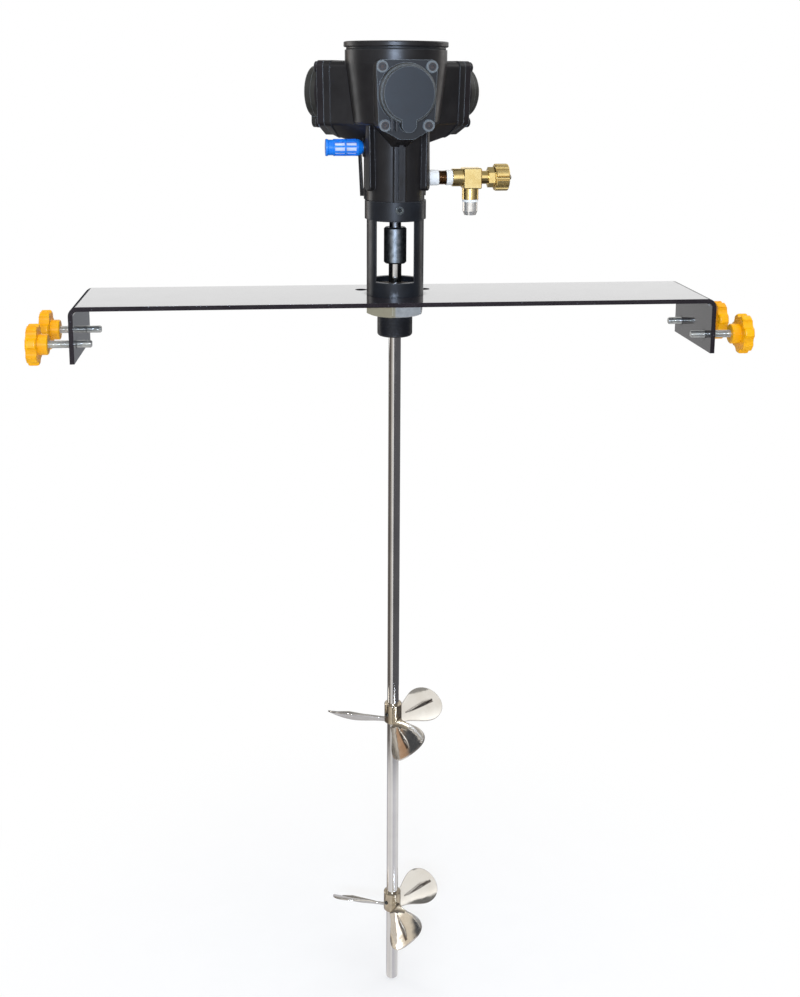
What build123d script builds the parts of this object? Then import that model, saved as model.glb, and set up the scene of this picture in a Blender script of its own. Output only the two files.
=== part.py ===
from build123d import *
import math
import os

# Tank agitator: an air motor with three radial cylinders stands on a bent strap
# that lies across the rim of a drum. A long shaft with two propellers hangs from it.
# Frame: +Z up along the shaft, +X along the strap, -Y to the front, millimetres.
# The origin is on the shaft axis, in the strap's underside, where it rests on the rim.

# --- Clearances shared by all the fits
running_clearance = 0.05
seat_clearance = 0.02
thread_clearance = 0.1
face_clearance = 0.3

# --- Bracket: a strap with a leg bent down at each end
plate_length = 640.0
plate_depth = 114.0
plate_thickness = 4.5
leg_drop = 56.0
bend_radius = 9.0
spare_hole_radius = 6.0
spare_hole_spacing = 66.0
spare_hole_setback = 25.0
tail_hole_clearance = 0.25
screw_drop = 40.0
screw_spread = 74.0

# --- Thumb screws: a threaded stud in a lobed knob
stud_radius = 3.9
stud_inside = 14.5
stud_outside = 22.5
stud_tip_chamfer = 1.0
stud_grip = 16.0
knob_radius = 20.5
knob_disc_thickness = 10.4
knob_hub_radius = 10.3
knob_hub_length = 9.0
knob_hub_chamfer = 0.8
knob_lobes = 7
knob_notch_radius = 6.5
knob_notch_set_out = 2.9
knob_edge_round = 1.8

# --- Lock nut under the plate
nut_across_flats = 55.0
nut_height = 16.0
nut_corner_azimuth = -100.0
nut_face_inset = 0.8
nut_chamfer_angle = 26.0

# --- Yoke: collar, windowed tube and threaded tail in one piece
yoke_tube_radius = 29.0
yoke_wall = 5.0
yoke_tube_height = 77.5
yoke_base_thickness = 9.0
yoke_azimuth = -96.0
window_width = 38.0
window_sill = 14.5
window_lintel = 1.3
collar_radius = 31.0
collar_height = 18.5
collar_screw_radius = 4.0
collar_screw_sink = 0.2
collar_screw_socket = 4.0
collar_screw_below_top = 8.0
tail_radius = 18.0
tail_length = 39.0
tail_edge_round = 3.0
guide_bush_radius = 9.0
guide_bush_length = 12.0
guide_bush_top_gap = 5.0
guide_bush_bottom_gap = 0.5

# --- Air motor housing
motor_azimuth = -87.6
cylinder_count = 3
spigot_radius = 26.0
spigot_length = 16.0
spigot_end_gap = 0.5
neck_radius = 29.4
neck_height = 75.3
barrel_height = 72.9
barrel_low_radius = 43.4
barrel_top_radius = 50.8
barrel_band_height = 13.5
barrel_edge_round = 4.0
cavity_radius = 40.0
cavity_floor = 8.5
bar_reach = 35.5
bar_top_width = 6.5
bar_low_width = 10.0
bar_drop = 65.0
bar_foot_round = 4.5
bar_edge_round = 1.5
bead_reach = 32.5
bead_width = 13.5
bead_edge_round = 2.0
strap_top_reach = 41.5
strap_foot_reach = 38.0
strap_thickness = 2.2
strap_width = 4.0
strap_foot_height = 8.0
strap_foot_lift = 2.5
rib_overlap = 6.0
neck_overlap = 5.0
port_boss_radius = 9.5
port_boss_reach = 33.0

# --- Cylinders and heads, heights from the cylinder axis, reaches from the shaft axis
cylinder_axis_lift = 34.0
bore_radius = 20.0
liner_wall = 2.5
liner_length = 33.0
shield_top = 28.8
shield_bottom_corner = -34.5
shield_tip = -45.5
shield_top_half_width = 29.3
shield_low_half_width = 26.7
shield_tip_half_width = 7.0
shield_corner_round = 6.0
keel_root_drop = 17.0
keel_flange_drop = 3.0
block_root_reach = 5.0
block_inset = 0.8
flange_reach = 66.0
flange_thickness = 6.5
gasket_thickness = 0.5
head_plate_thickness = 7.3
head_boss_half_width = 24.4
head_boss_half_height = 25.8
head_boss_drop = 2.4
head_boss_height = 16.0
head_boss_taper = 0.6
head_boss_chamfer = 0.8
head_rim_width = 2.2
head_rim_height = 9.0
head_lobe_width = 14.0
head_lobe_drop = 38.5
head_screw_radius = 2.4
head_screw_length = 16.0
head_screw_head_radius = 3.8
head_screw_head_height = 4.5
head_screw_sink = 0.5
head_screw_boss_radius = 5.5
head_screw_boss_height = 2.6
head_screw_top = 22.3
head_screw_bottom = -32.3
head_screw_top_half_spacing = 23.6
head_screw_low_half_spacing = 20.8
head_screw_socket = 3.0
screw_edge_round = 0.4
screw_socket_share = 0.6

# --- Top cover
seal_thickness = 1.0
cover_step_height = 1.5
cover_step_radius = 49.5
cover_radius = 52.0
cover_thickness = 5.5
cover_edge_round = 1.2
cover_spigot_depth = 18.0
cover_plug_lift = 9.0
cover_screw_count = 4
cover_screw_circle = 45.3
cover_screw_radius = 1.9
cover_screw_head_radius = 3.6
cover_screw_head_height = 2.6
cover_screw_length = 12.0
cover_screw_sink = 0.2
cover_screw_socket = 2.5
cover_screw_end_gap = 0.5

# --- Crank, valve and bearings
crank_throw = 8.0
crank_pin_radius = 5.0
crank_pin_length = 16.0
crank_web_radius = 17.0
crank_web_thickness = 6.0
upper_shoulder = 2.0
lower_shoulder = 1.5
upper_journal_radius = 6.0
lower_journal_radius = 8.5
valve_journal_radius = 7.0
output_journal_radius = 6.0
bearing_width = 10.0
upper_bearing_radius = 16.0
lower_bearing_radius = 17.5
upper_bearing_wall = 5.0
bearing_shoulder = 1.8
bearing_ball_share = 0.3
bearing_ball_pitch = 1.35
valve_radius = 12.0
valve_length = 58.0
sleeve_wall = 5.0
sleeve_length = 62.0
valve_groove_depth = 2.0
valve_groove_width = 12.0
output_bush_radius = 10.0
output_bush_length = 16.0
seal_radius = 11.0
seal_length = 7.0
seal_end_gap = 0.5

# --- Pistons at mid-stroke
piston_crown_below_flange = 8.5
piston_length = 22.0
piston_wall = 4.0
piston_crown_thickness = 6.0
piston_socket_radius = 9.0
piston_socket_lip = 3.6
piston_throat_gap = 1.8
piston_top_land = 2.0
piston_ring_width = 2.0
piston_ring_depth = 2.5
piston_ring_spacing = 4.0
rod_ball_radius = 6.0
rod_ball_below_crown = 12.0
rod_radius = 3.2
rod_foot_radius = 3.6
rod_foot_length = 3.0

# --- Coupling and agitator shaft
coupling_radius = 11.5
coupling_length = 37.0
coupling_below_collar = 9.0
coupling_chamfer = 1.5
coupling_screw_radius = 2.5
coupling_screw_socket = 2.5
coupling_screw_sink = 0.4
coupling_screw_azimuth = 40.0
shaft_head_radius = 6.6
shaft_radius = 6.35
shaft_below_plate = 781.5
shaft_tip_chamfer = 1.5
shaft_end_gap = 1.0

# --- Propellers: three pressed blades welded to a hub
upper_hub_depth = 458.0
lower_hub_depth = 685.0
hub_radius = 9.4
hub_length = 22.0
hub_chamfer = 0.8
hub_screw_radius = 2.0
hub_screw_socket = 2.0
hub_screw_stand_out = 0.8
hub_screw_azimuth = -140.0
blade_count = 3
blade_loft_steps = 4
blade_overrun = 8.0
blade_root_depth = 4.0
upper_blade_reach = 73.0
lower_blade_reach = 68.0
blade_width = 40.0
blade_thickness = 1.6
blade_root_width = 15.0
blade_neck_length = 10.0
blade_neck_spread = 1.0
blade_tip_length = 19.0
blade_root_pitch = 42.0
blade_tip_pitch = 33.0
blade_camber_radius = 80.0
blade_ridge_radius = 2.2
blade_ridge_widest = 0.7
blade_ridge_point_radius = 0.5
blade_ridge_start = 20.0
blade_ridge_end_gap = 10.0
upper_blade_azimuth = -80.0
lower_blade_azimuth = -80.0
upper_blade_drop = 8.5
lower_blade_drop = 6.0

# --- Exhaust muffler
muffler_azimuth_step = -90.0
muffler_lift = 52.5
muffler_radius = 8.5
muffler_start = 34.0
muffler_length = 36.5
muffler_shoulder_length = 4.0
muffler_shoulder_step = 2.0
muffler_floor = 3.0
muffler_waist_depth = 0.7
muffler_rim_length = 2.0
muffler_core_radius = 6.4
muffler_thread_radius = 4.9
muffler_thread_length = 13.0
muffler_thread_wall = 1.8
muffler_cap_length = 8.0
muffler_slot_columns = 2
muffler_slot_rows = 9
muffler_slot_length = 10.0
muffler_slot_width = 3.9
muffler_slot_gap = 1.6

# --- Air inlet: nipple, tee, needle valve
inlet_azimuth_step = 90.0
inlet_lift = 22.0
nipple_radius = 7.2
nipple_bore_radius = 3.5
nipple_reach = 64.0
nipple_start = 22.0
tape_thickness = 0.7
inner_tape_start = 33.3
inner_tape_length = 10.2
outer_tape_start = 51.5
outer_tape_length = 6.3
tee_start = 58.0
tee_arm_radius = 9.0
tee_block_start = 68.5
tee_block_length = 18.5
tee_block_chamfer = 0.8
tee_block_half_width = 9.5
tee_block_top = 9.8
tee_block_bottom = 11.0
tee_branch_radius = 8.4
tee_branch_inset = 0.8
tee_branch_drop = 22.2
branch_tape_height = 2.5
fitting_radius = 7.5
fitting_length = 13.4
fitting_taper_length = 4.0
fitting_end_gap = 0.5
fitting_tip_radius = 6.0
fitting_engagement = 9.0
fitting_bore_radius = 3.5
bonnet_arm_radius = 6.7
bonnet_arm_length = 7.5
bonnet_hex_across_flats = 18.0
bonnet_hex_length = 6.6
bonnet_insert = 8.0
bonnet_insert_radius = 5.7
bonnet_insert_gap = 0.2
stem_radius = 2.5
stem_needle_reach = 77.0
needle_tip_radius = 0.6
needle_length = 5.0
stem_end_chamfer = 0.5
stem_reach = 119.0
packing_radius = 4.2
packing_length = 5.0
valve_knob_radius = 13.8
valve_knob_length = 14.0
valve_knob_edge_round = 1.5
valve_knob_flutes = 8
valve_knob_flute_radius = 2.6
valve_knob_flute_set_out = 0.8
valve_knob_gap = 0.3

# --- Levels and sizes that follow from the values above
plate_top = plate_thickness
leg_inner_x = plate_length / 2 - plate_thickness
screw_z = plate_top - screw_drop
collar_bottom = plate_top + yoke_tube_height
collar_top = collar_bottom + collar_height
collar_screw_z = collar_top - collar_screw_below_top
yoke_floor = plate_top + yoke_base_thickness
spigot_bottom = collar_top - spigot_length
seal_bottom = spigot_bottom + seal_end_gap
output_bush_bottom = seal_bottom + seal_length
neck_bottom = collar_top
barrel_bottom = neck_bottom + neck_height
barrel_top = barrel_bottom + barrel_height
cavity_bottom = barrel_bottom + cavity_floor
cylinder_z = barrel_bottom + cylinder_axis_lift
lower_bearing_z = cavity_bottom - bearing_width
sleeve_top = lower_bearing_z - 2 * running_clearance
sleeve_bottom = sleeve_top - sleeve_length
sleeve_radius = valve_radius + sleeve_wall
valve_bottom = sleeve_bottom + (sleeve_length - valve_length) / 2
cover_seat = barrel_top + seal_thickness
cover_disc_bottom = cover_seat + cover_step_height
cover_top = cover_disc_bottom + cover_thickness
cover_spigot_bottom = cover_seat - cover_spigot_depth
upper_bearing_top = cover_spigot_bottom + bearing_width
crank_top = upper_bearing_top
web_half_gap = crank_pin_length / 2
web_outer = web_half_gap + crank_web_thickness
block_reach = flange_reach - flange_thickness
liner_inner_reach = flange_reach - liner_length
head_seat = flange_reach + gasket_thickness
piston_crown_reach = flange_reach - piston_crown_below_flange
head_face = head_seat + head_plate_thickness
coupling_top = collar_bottom - coupling_below_collar
coupling_bottom = coupling_top - coupling_length
coupling_middle = (coupling_top + coupling_bottom) / 2
motor_shaft_end = coupling_middle + shaft_end_gap / 2
agitator_top = coupling_middle - shaft_end_gap / 2
shaft_head_bottom = yoke_floor - guide_bush_top_gap
muffler_z = neck_bottom + muffler_lift
inlet_z = neck_bottom + inlet_lift
cylinder_names = ["front", "right", "left"]
cylinder_azimuths = [motor_azimuth + 360.0 / cylinder_count * step for step in range(cylinder_count)]
muffler_azimuth = motor_azimuth + muffler_azimuth_step
inlet_azimuth = motor_azimuth + inlet_azimuth_step

UP = (Align.CENTER, Align.CENTER, Align.MIN)


def turned(*corners):
    """Solid of revolution about Z from (radius, height) corners."""
    outline = make_face(Polyline(*corners, close=True))
    return revolve(Plane.XZ * outline, Axis.Z)


def rod_up(radius, bottom, top):
    """Cylinder on the Z axis between two heights."""
    return Pos(0, 0, bottom) * Cylinder(radius, top - bottom, align=UP)


def tube_up(inner, outer, bottom, top):
    """Tube on the Z axis between two heights."""
    return rod_up(outer, bottom, top) - rod_up(inner, bottom - 1, top + 1)


def outward(shape, height, azimuth):
    """Turn a shape built along +Z so that it points away from the shaft at a height."""
    return Rot(0, 0, azimuth) * Pos(0, 0, height) * Rot(0, 90, 0) * shape


def radial_rod(radius, start, end, height, azimuth):
    """Cylinder that points away from the shaft axis, between two reaches."""
    return outward(rod_up(radius, start, end), height, azimuth)


def hexagon(across_flats):
    """Hexagon with its corners on the X axis."""
    return RegularPolygon(across_flats / 2, 6, major_radius=False)


def set_screw(radius, length, socket):
    """Headless screw along +Z, its hexagon socket at the outer end."""
    body = rod_up(radius, 0, length)
    return body - Pos(0, 0, length * 0.5) * extrude(hexagon(socket), length)


def cap_screw(radius, length, head_radius, head_height, socket):
    """Socket head screw, the head's seat at zero and its shank along -Z."""
    shank = rod_up(radius, -length, 0)
    head = fillet(rod_up(head_radius, 0, head_height).edges().group_by(Axis.Z)[-1], screw_edge_round)
    recess = Pos(0, 0, head_height * (1 - screw_socket_share)) * extrude(hexagon(socket), head_height)
    return shank + head - recess


def write(node, *shapes):
    """Write one node's solids to its own file."""
    solids = [solid for shape in shapes for solid in shape.solids()]
    part = solids[0] if len(solids) == 1 else Compound(children=solids)
    export_step(part, f"parts/{node}.step")


# --- Bracket

def mounting_plate():
    """Strap with two legs bent down, and its holes."""
    half = plate_length / 2
    bottom = plate_top - leg_drop
    outline = make_face(Polyline(
        (-half, bottom), (-half, plate_top), (half, plate_top), (half, bottom),
        (leg_inner_x, bottom), (leg_inner_x, 0), (-leg_inner_x, 0), (-leg_inner_x, bottom),
        close=True))
    outer = [corner for corner in outline.vertices() if abs(corner.Y - plate_top) < 0.01]
    outline = fillet(outer, bend_radius)
    inner = [corner for corner in outline.vertices()
             if abs(corner.Y) < 0.01 and abs(abs(corner.X) - leg_inner_x) < 0.01]
    outline = fillet(inner, bend_radius - plate_thickness)
    plate = extrude(Plane.XZ * outline, plate_depth / 2, both=True)
    plate -= rod_up(tail_radius + tail_hole_clearance, -1, plate_top + 1)
    for side in (-1, 1):
        spare = rod_up(spare_hole_radius, -1, plate_top + 1)
        plate -= Pos(side * spare_hole_spacing / 2, spare_hole_setback, 0) * spare
        for depth in (-1, 1):
            tapping = Rot(0, 90, 0) * Cylinder(stud_radius + thread_clearance, 4 * plate_thickness)
            plate -= Pos(side * half, depth * screw_spread / 2, screw_z) * tapping
    return plate


def lock_nut():
    """Hexagon nut whose lower corners are chamfered."""
    corner_radius = nut_across_flats / math.sqrt(3)
    blank = Rot(0, 0, nut_corner_azimuth) * extrude(hexagon(nut_across_flats), -nut_height)
    flat = nut_across_flats / 2 - nut_face_inset
    outside = corner_radius + 1
    bevel = (outside - flat) * math.tan(math.radians(nut_chamfer_angle))
    keep = turned((0, -nut_height), (flat, -nut_height), (outside, bevel - nut_height),
                  (outside, 0), (0, 0))
    return (blank & keep) - rod_up(tail_radius + running_clearance, -nut_height - 1, 1)


# --- Thumb screws, built along +X for the right leg

def thumb_stud():
    """Threaded stud through the leg and into its knob."""
    start = leg_inner_x - stud_inside
    end = plate_length / 2 + stud_outside + stud_grip
    stud = rod_up(stud_radius, start, end)
    stud = chamfer(stud.edges().group_by(Axis.Z)[0], stud_tip_chamfer)
    return Rot(0, 90, 0) * stud


def thumb_knob():
    """Lobed knob with a round hub towards the leg."""
    start = plate_length / 2 + stud_outside
    disc_start = start + knob_hub_length
    end = disc_start + knob_disc_thickness
    disc = rod_up(knob_radius, disc_start, end)
    disc = fillet(disc.edges().filter_by(GeomType.CIRCLE), knob_edge_round)
    for lobe in range(knob_lobes):
        notch = rod_up(knob_notch_radius, disc_start - 1, end + 1)
        notch = Pos(knob_radius + knob_notch_set_out, 0, 0) * notch
        disc -= Rot(0, 0, 360.0 / knob_lobes * (lobe + 0.5)) * notch
    hub = rod_up(knob_hub_radius, start, disc_start + 1)
    hub = chamfer(hub.edges().group_by(Axis.Z)[0], knob_hub_chamfer)
    hole = rod_up(stud_radius + running_clearance, start - 1, start + stud_grip + face_clearance)
    return Rot(0, 90, 0) * (disc + hub - hole)


def place_screw(shape, side, depth):
    """Move a thumb screw piece to one corner of the bracket."""
    turn = Rot(0, 0, 0 if side > 0 else 180)
    return Pos(0, depth * screw_spread / 2, screw_z) * turn * shape


# --- Yoke

def yoke():
    """Collar, windowed tube, base and threaded tail."""
    tail = rod_up(tail_radius, -tail_length, plate_top)
    tail = fillet(tail.edges().group_by(Axis.Z)[0], tail_edge_round)
    body = tail + rod_up(yoke_tube_radius, plate_top, collar_bottom)
    body += rod_up(collar_radius, collar_bottom, collar_top)
    body -= rod_up(yoke_tube_radius - yoke_wall, yoke_floor, spigot_bottom + 1)
    body -= rod_up(spigot_radius + seat_clearance, spigot_bottom - spigot_end_gap, collar_top + 1)
    body -= rod_up(guide_bush_radius + seat_clearance, -tail_length - 1, yoke_floor + 1)
    window_bottom = plate_top + window_sill
    window_height = collar_bottom - window_lintel - window_bottom
    window = Box(4 * yoke_tube_radius, window_width, window_height, align=UP)
    body -= Rot(0, 0, yoke_azimuth) * Pos(0, 0, window_bottom) * window
    for azimuth in cylinder_azimuths:
        body -= radial_rod(collar_screw_radius + running_clearance, spigot_radius - 2,
                           collar_radius + 1, collar_screw_z, azimuth)
    return body


def collar_set_screws():
    """Headless screws that press on the motor's spigot."""
    start = spigot_radius + running_clearance
    length = collar_radius - collar_screw_sink - start
    screw = Pos(0, 0, start) * set_screw(collar_screw_radius, length, collar_screw_socket)
    return [outward(screw, collar_screw_z, azimuth) for azimuth in cylinder_azimuths]


def guide_bushes():
    """Two plain bushes that guide the shaft in the tail."""
    bush_top = shaft_head_bottom - face_clearance
    tops = (bush_top, -tail_length + guide_bush_bottom_gap + guide_bush_length)
    return [tube_up(shaft_radius + running_clearance, guide_bush_radius, top - guide_bush_length, top)
            for top in tops]


# --- Motor housing

def shield(inset, drop=0):
    """Outline of a cylinder head: square shoulders and a pointed lower edge, lowered by the drop."""
    tip = shield_tip - drop + inset
    half_top = shield_top_half_width - inset
    half_low = shield_low_half_width - inset
    outline = make_face(Polyline(
        (-half_top, shield_top - inset), (half_top, shield_top - inset),
        (half_low, shield_bottom_corner + inset), (shield_tip_half_width, tip),
        (-shield_tip_half_width, tip), (-half_low, shield_bottom_corner + inset),
        close=True))
    return fillet(outline.vertices(), shield_corner_round)


def shield_prism(inset, start, end, azimuth):
    """The head outline as a solid between two reaches."""
    face = Plane.YZ.offset(start) * shield(inset)
    return Rot(0, 0, azimuth) * Pos(0, 0, cylinder_z) * extrude(face, end - start)


def keeled_prism(inset, start, start_drop, end, end_drop, azimuth):
    """A solid between two reaches whose lower edge slopes from one drop to the other."""
    faces = [Plane.YZ.offset(start) * shield(inset, start_drop), Plane.YZ.offset(end) * shield(inset, end_drop)]
    return Rot(0, 0, azimuth) * Pos(0, 0, cylinder_z) * loft(faces)


def head_screw_places():
    """The four screw places of a head, sideways and up from the cylinder axis."""
    places = []
    for side in (-1, 1):
        places.append((side * head_screw_top_half_spacing, head_screw_top))
        places.append((side * head_screw_low_half_spacing, head_screw_bottom))
    return places


def at_head_screws(shape, reach, azimuth):
    """Copies of a shape built along +Z at each screw place of one head."""
    outward_turn = Rot(0, 90, 0)
    return [Rot(0, 0, azimuth) * Pos(reach, sideways, cylinder_z + up) * outward_turn * shape
            for sideways, up in head_screw_places()]


def standing_bar(azimuth):
    """Stiffening bar that stands on the neck between two cylinders."""
    top = barrel_bottom + 1
    bottom = barrel_bottom - bar_drop
    outline = make_face(Polyline(
        (-bar_low_width / 2, bottom), (bar_low_width / 2, bottom),
        (bar_top_width / 2, top), (-bar_top_width / 2, top), close=True))
    outline = fillet(outline.vertices().sort_by(Axis.Y)[:2], bar_foot_round)
    bar = extrude(Plane.YZ * outline, bar_reach)
    bar = fillet(bar.faces().sort_by(Axis.X)[-1].edges(), bar_edge_round)
    return Rot(0, 0, azimuth) * bar


def passage_bead(azimuth):
    """Shallow raised air passage down the neck below a cylinder."""
    top = cylinder_z + shield_tip + rib_overlap
    bead = Pos(bead_reach / 2, 0, neck_bottom) * Box(bead_reach, bead_width, top - neck_bottom, align=UP)
    bead = fillet(bead.edges().filter_by(Axis.Z).group_by(Axis.X)[-1], bead_edge_round)
    return Rot(0, 0, azimuth) * bead


def passage_strap(azimuth):
    """Thin rib that leans from the neck's foot to a cylinder, clear of the neck between."""
    bottom = neck_bottom + strap_foot_lift
    foot_top = bottom + strap_foot_height
    top = cylinder_z + shield_tip + rib_overlap
    outline = make_face(Polyline(
        (neck_radius - 2, bottom), (strap_foot_reach, bottom), (strap_top_reach, top),
        (strap_top_reach - strap_thickness, top), (strap_foot_reach - strap_thickness, foot_top),
        (neck_radius - 2, foot_top), close=True))
    return Rot(0, 0, azimuth) * extrude(Plane.XZ * outline, strap_width / 2, both=True)


def bearing_seat(radius, bottom):
    """Space that a ball bearing fills."""
    return rod_up(radius + seat_clearance, bottom, bottom + bearing_width)


def motor_housing():
    """One casting: barrel, three cylinder blocks, neck and spigot."""
    barrel = turned((0, barrel_bottom), (barrel_low_radius, barrel_bottom),
                    (barrel_top_radius, barrel_top - barrel_band_height),
                    (barrel_top_radius, barrel_top), (0, barrel_top))
    barrel = fillet(barrel.edges().group_by(Axis.Z)[0], barrel_edge_round)
    neck = rod_up(neck_radius, neck_bottom, barrel_bottom + neck_overlap)
    body = barrel + neck + rod_up(spigot_radius, spigot_bottom, neck_bottom)
    for azimuth in cylinder_azimuths:
        body += keeled_prism(
            block_inset, block_root_reach, keel_root_drop, block_reach, keel_flange_drop, azimuth)
        body += keeled_prism(0, block_reach, keel_flange_drop, flange_reach, 0, azimuth)
        body += standing_bar(azimuth + 180.0 / cylinder_count)
        body += passage_bead(azimuth)
        body += passage_strap(azimuth)
    body += radial_rod(port_boss_radius, 5, port_boss_reach, muffler_z, muffler_azimuth)
    body += radial_rod(port_boss_radius, 5, port_boss_reach, inlet_z, inlet_azimuth)
    body -= rod_up(cavity_radius, cavity_bottom, barrel_top + 1)
    body -= rod_up(lower_bearing_radius + seat_clearance, lower_bearing_z, cavity_bottom + 1)
    body -= rod_up(sleeve_radius + seat_clearance, sleeve_bottom, lower_bearing_z + 1)
    body -= rod_up(seal_radius + seat_clearance, spigot_bottom - 1, output_bush_bottom)
    body -= rod_up(output_bush_radius + seat_clearance, output_bush_bottom - 1, sleeve_bottom + 1)
    ports = ((muffler_thread_radius, muffler_z, muffler_azimuth), (nipple_radius, inlet_z, inlet_azimuth))
    for radius, height, azimuth in ports:
        body -= radial_rod(radius + seat_clearance, 5, port_boss_reach + 2, height, azimuth)
    liner_radius = bore_radius + liner_wall
    hole = rod_up(head_screw_radius + seat_clearance, -head_screw_length, 1)
    for azimuth in cylinder_azimuths:
        body -= radial_rod(
            liner_radius + seat_clearance, cavity_radius / 2, flange_reach + 1, cylinder_z, azimuth)
        for screw_hole in at_head_screws(hole, flange_reach, azimuth):
            body -= screw_hole
    for screw in range(cover_screw_count):
        tapping = rod_up(cover_screw_radius + seat_clearance, barrel_top - cover_screw_length, barrel_top + 1)
        body -= Rot(0, 0, cover_screw_azimuth(screw)) * Pos(cover_screw_circle, 0, 0) * tapping
    return body


def head_gasket(azimuth):
    """Flat gasket between a block and its head."""
    gasket = shield_prism(0, flange_reach, head_seat, azimuth)
    gasket -= radial_rod(bore_radius, flange_reach - 1, head_seat + 1, cylinder_z, azimuth)
    hole = rod_up(head_screw_radius + seat_clearance, -5, 5)
    for screw_hole in at_head_screws(hole, head_seat, azimuth):
        gasket -= screw_hole
    return gasket


def boss_tier(margin, height, azimuth):
    """One tapered tier of the oval boss on a head, a margin wider than its face."""
    low = Plane.YZ.offset(head_face - 1) * Ellipse(
        head_boss_half_width + margin + head_boss_taper, head_boss_half_height + margin + head_boss_taper)
    high = Plane.YZ.offset(head_face + height) * Ellipse(
        head_boss_half_width + margin, head_boss_half_height + margin)
    tier = loft([low, high])
    tier = chamfer(tier.edges().group_by(Axis.X)[-1], head_boss_chamfer)
    return Rot(0, 0, azimuth) * Pos(0, 0, cylinder_z - head_boss_drop) * tier


def cylinder_head(azimuth):
    """Head plate with its round boss, keyhole lobe and screw bosses."""
    head = shield_prism(0, head_seat, head_face, azimuth)
    head += boss_tier(head_rim_width, head_rim_height, azimuth)
    head += boss_tier(0, head_boss_height, azimuth)
    lobe_end = head_lobe_drop - head_lobe_width / 2
    lobe = Plane.YZ.offset(head_face - 1) * (
        Pos(0, -lobe_end) * Circle(head_lobe_width / 2)
        + Pos(0, -lobe_end / 2) * Rectangle(head_lobe_width, lobe_end))
    head += Rot(0, 0, azimuth) * Pos(0, 0, cylinder_z) * extrude(lobe, head_boss_height + 1)
    screw_boss = rod_up(head_screw_boss_radius, -1, head_screw_boss_height)
    seat_depth = head_screw_head_height - head_screw_boss_height
    counterbore = rod_up(head_screw_head_radius + thread_clearance, -seat_depth, 2 * head_screw_boss_height)
    counterbore += rod_up(head_screw_radius + seat_clearance, -2 * head_plate_thickness, 0)
    for boss_copy in at_head_screws(screw_boss, head_face, azimuth):
        head += boss_copy
    for hole in at_head_screws(counterbore, head_face, azimuth):
        head -= hole
    return head


def head_screws(azimuth):
    """Four socket head screws of one head."""
    screw = cap_screw(head_screw_radius, head_screw_length, head_screw_head_radius,
                      head_screw_head_height - head_screw_sink, head_screw_socket)
    seat = head_face - (head_screw_head_height - head_screw_boss_height)
    return at_head_screws(screw, seat, azimuth)


def cylinder_liner(azimuth):
    """Steel liner pressed into a block."""
    liner = tube_up(bore_radius, bore_radius + liner_wall, liner_inner_reach, flange_reach)
    return outward(liner, cylinder_z, azimuth)


# --- Top cover

def cover_screw_azimuth(screw):
    """Azimuth of one cover screw."""
    return motor_azimuth + 360.0 / cover_screw_count * (screw + 0.5)


def at_cover_screws(shape):
    """Copies of a shape on the cover's screw circle."""
    return [Rot(0, 0, cover_screw_azimuth(screw)) * Pos(cover_screw_circle, 0, 0) * shape
            for screw in range(cover_screw_count)]


def cover_seal():
    """Flat ring between the barrel and its cover."""
    ring = tube_up(cavity_radius, cover_step_radius, barrel_top, cover_seat)
    for hole in at_cover_screws(rod_up(cover_screw_radius + seat_clearance, barrel_top - 1, cover_seat + 1)):
        ring -= hole
    return ring


def top_cover():
    """Disc that closes the barrel and carries the upper bearing."""
    disc = rod_up(cover_radius, cover_disc_bottom, cover_top)
    disc = fillet(disc.edges().filter_by(GeomType.CIRCLE), cover_edge_round)
    cover = disc + rod_up(cover_step_radius, cover_seat, cover_disc_bottom + 1)
    cover += rod_up(cavity_radius - running_clearance, cover_spigot_bottom + cover_plug_lift, cover_seat + 1)
    cover += rod_up(upper_bearing_radius + upper_bearing_wall, cover_spigot_bottom, cover_seat)
    cover -= bearing_seat(upper_bearing_radius, cover_spigot_bottom)
    head_seat_z = cover_top - cover_screw_head_height
    hole = rod_up(cover_screw_radius + seat_clearance, cover_seat - 1, cover_top)
    hole += rod_up(cover_screw_head_radius + thread_clearance, head_seat_z, cover_top + 1)
    for screw_hole in at_cover_screws(hole):
        cover -= screw_hole
    return cover


def cover_screws():
    """Socket head screws let into the cover."""
    head_seat_z = cover_top - cover_screw_head_height
    length = head_seat_z - barrel_top + cover_screw_length - cover_screw_end_gap
    screw = cap_screw(cover_screw_radius, length, cover_screw_head_radius,
                      cover_screw_head_height - cover_screw_sink, cover_screw_socket)
    return at_cover_screws(Pos(0, 0, head_seat_z) * screw)


# --- Ball bearings

def ball_size(inner, outer):
    """Ball radius of a bearing, from its bore and outside radius."""
    return (outer - inner) * bearing_ball_share


def ring_groove(inner, outer, bottom):
    """Round track that the balls of one bearing run in."""
    middle = (inner + outer) / 2
    return Pos(0, 0, bottom + bearing_width / 2) * Torus(middle, ball_size(inner, outer) + running_clearance)


def bearing_outer(inner, outer, bottom):
    """Outer ring with its balls."""
    middle = (inner + outer) / 2
    ring = tube_up(middle + bearing_shoulder, outer, bottom, bottom + bearing_width)
    ring -= ring_groove(inner, outer, bottom)
    count = int(math.pi * middle / (ball_size(inner, outer) * bearing_ball_pitch))
    balls = [Rot(0, 0, 360.0 / count * ball) * Pos(middle, 0, bottom + bearing_width / 2)
             * Sphere(ball_size(inner, outer)) for ball in range(count)]
    return [ring, *balls]


def bearing_inner(inner, outer, bottom):
    """Inner ring that turns with the crank."""
    middle = (inner + outer) / 2
    ring = tube_up(inner + seat_clearance, middle - bearing_shoulder, bottom, bottom + bearing_width)
    return ring - ring_groove(inner, outer, bottom)


# --- Crank, valve, bush and seal

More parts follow.
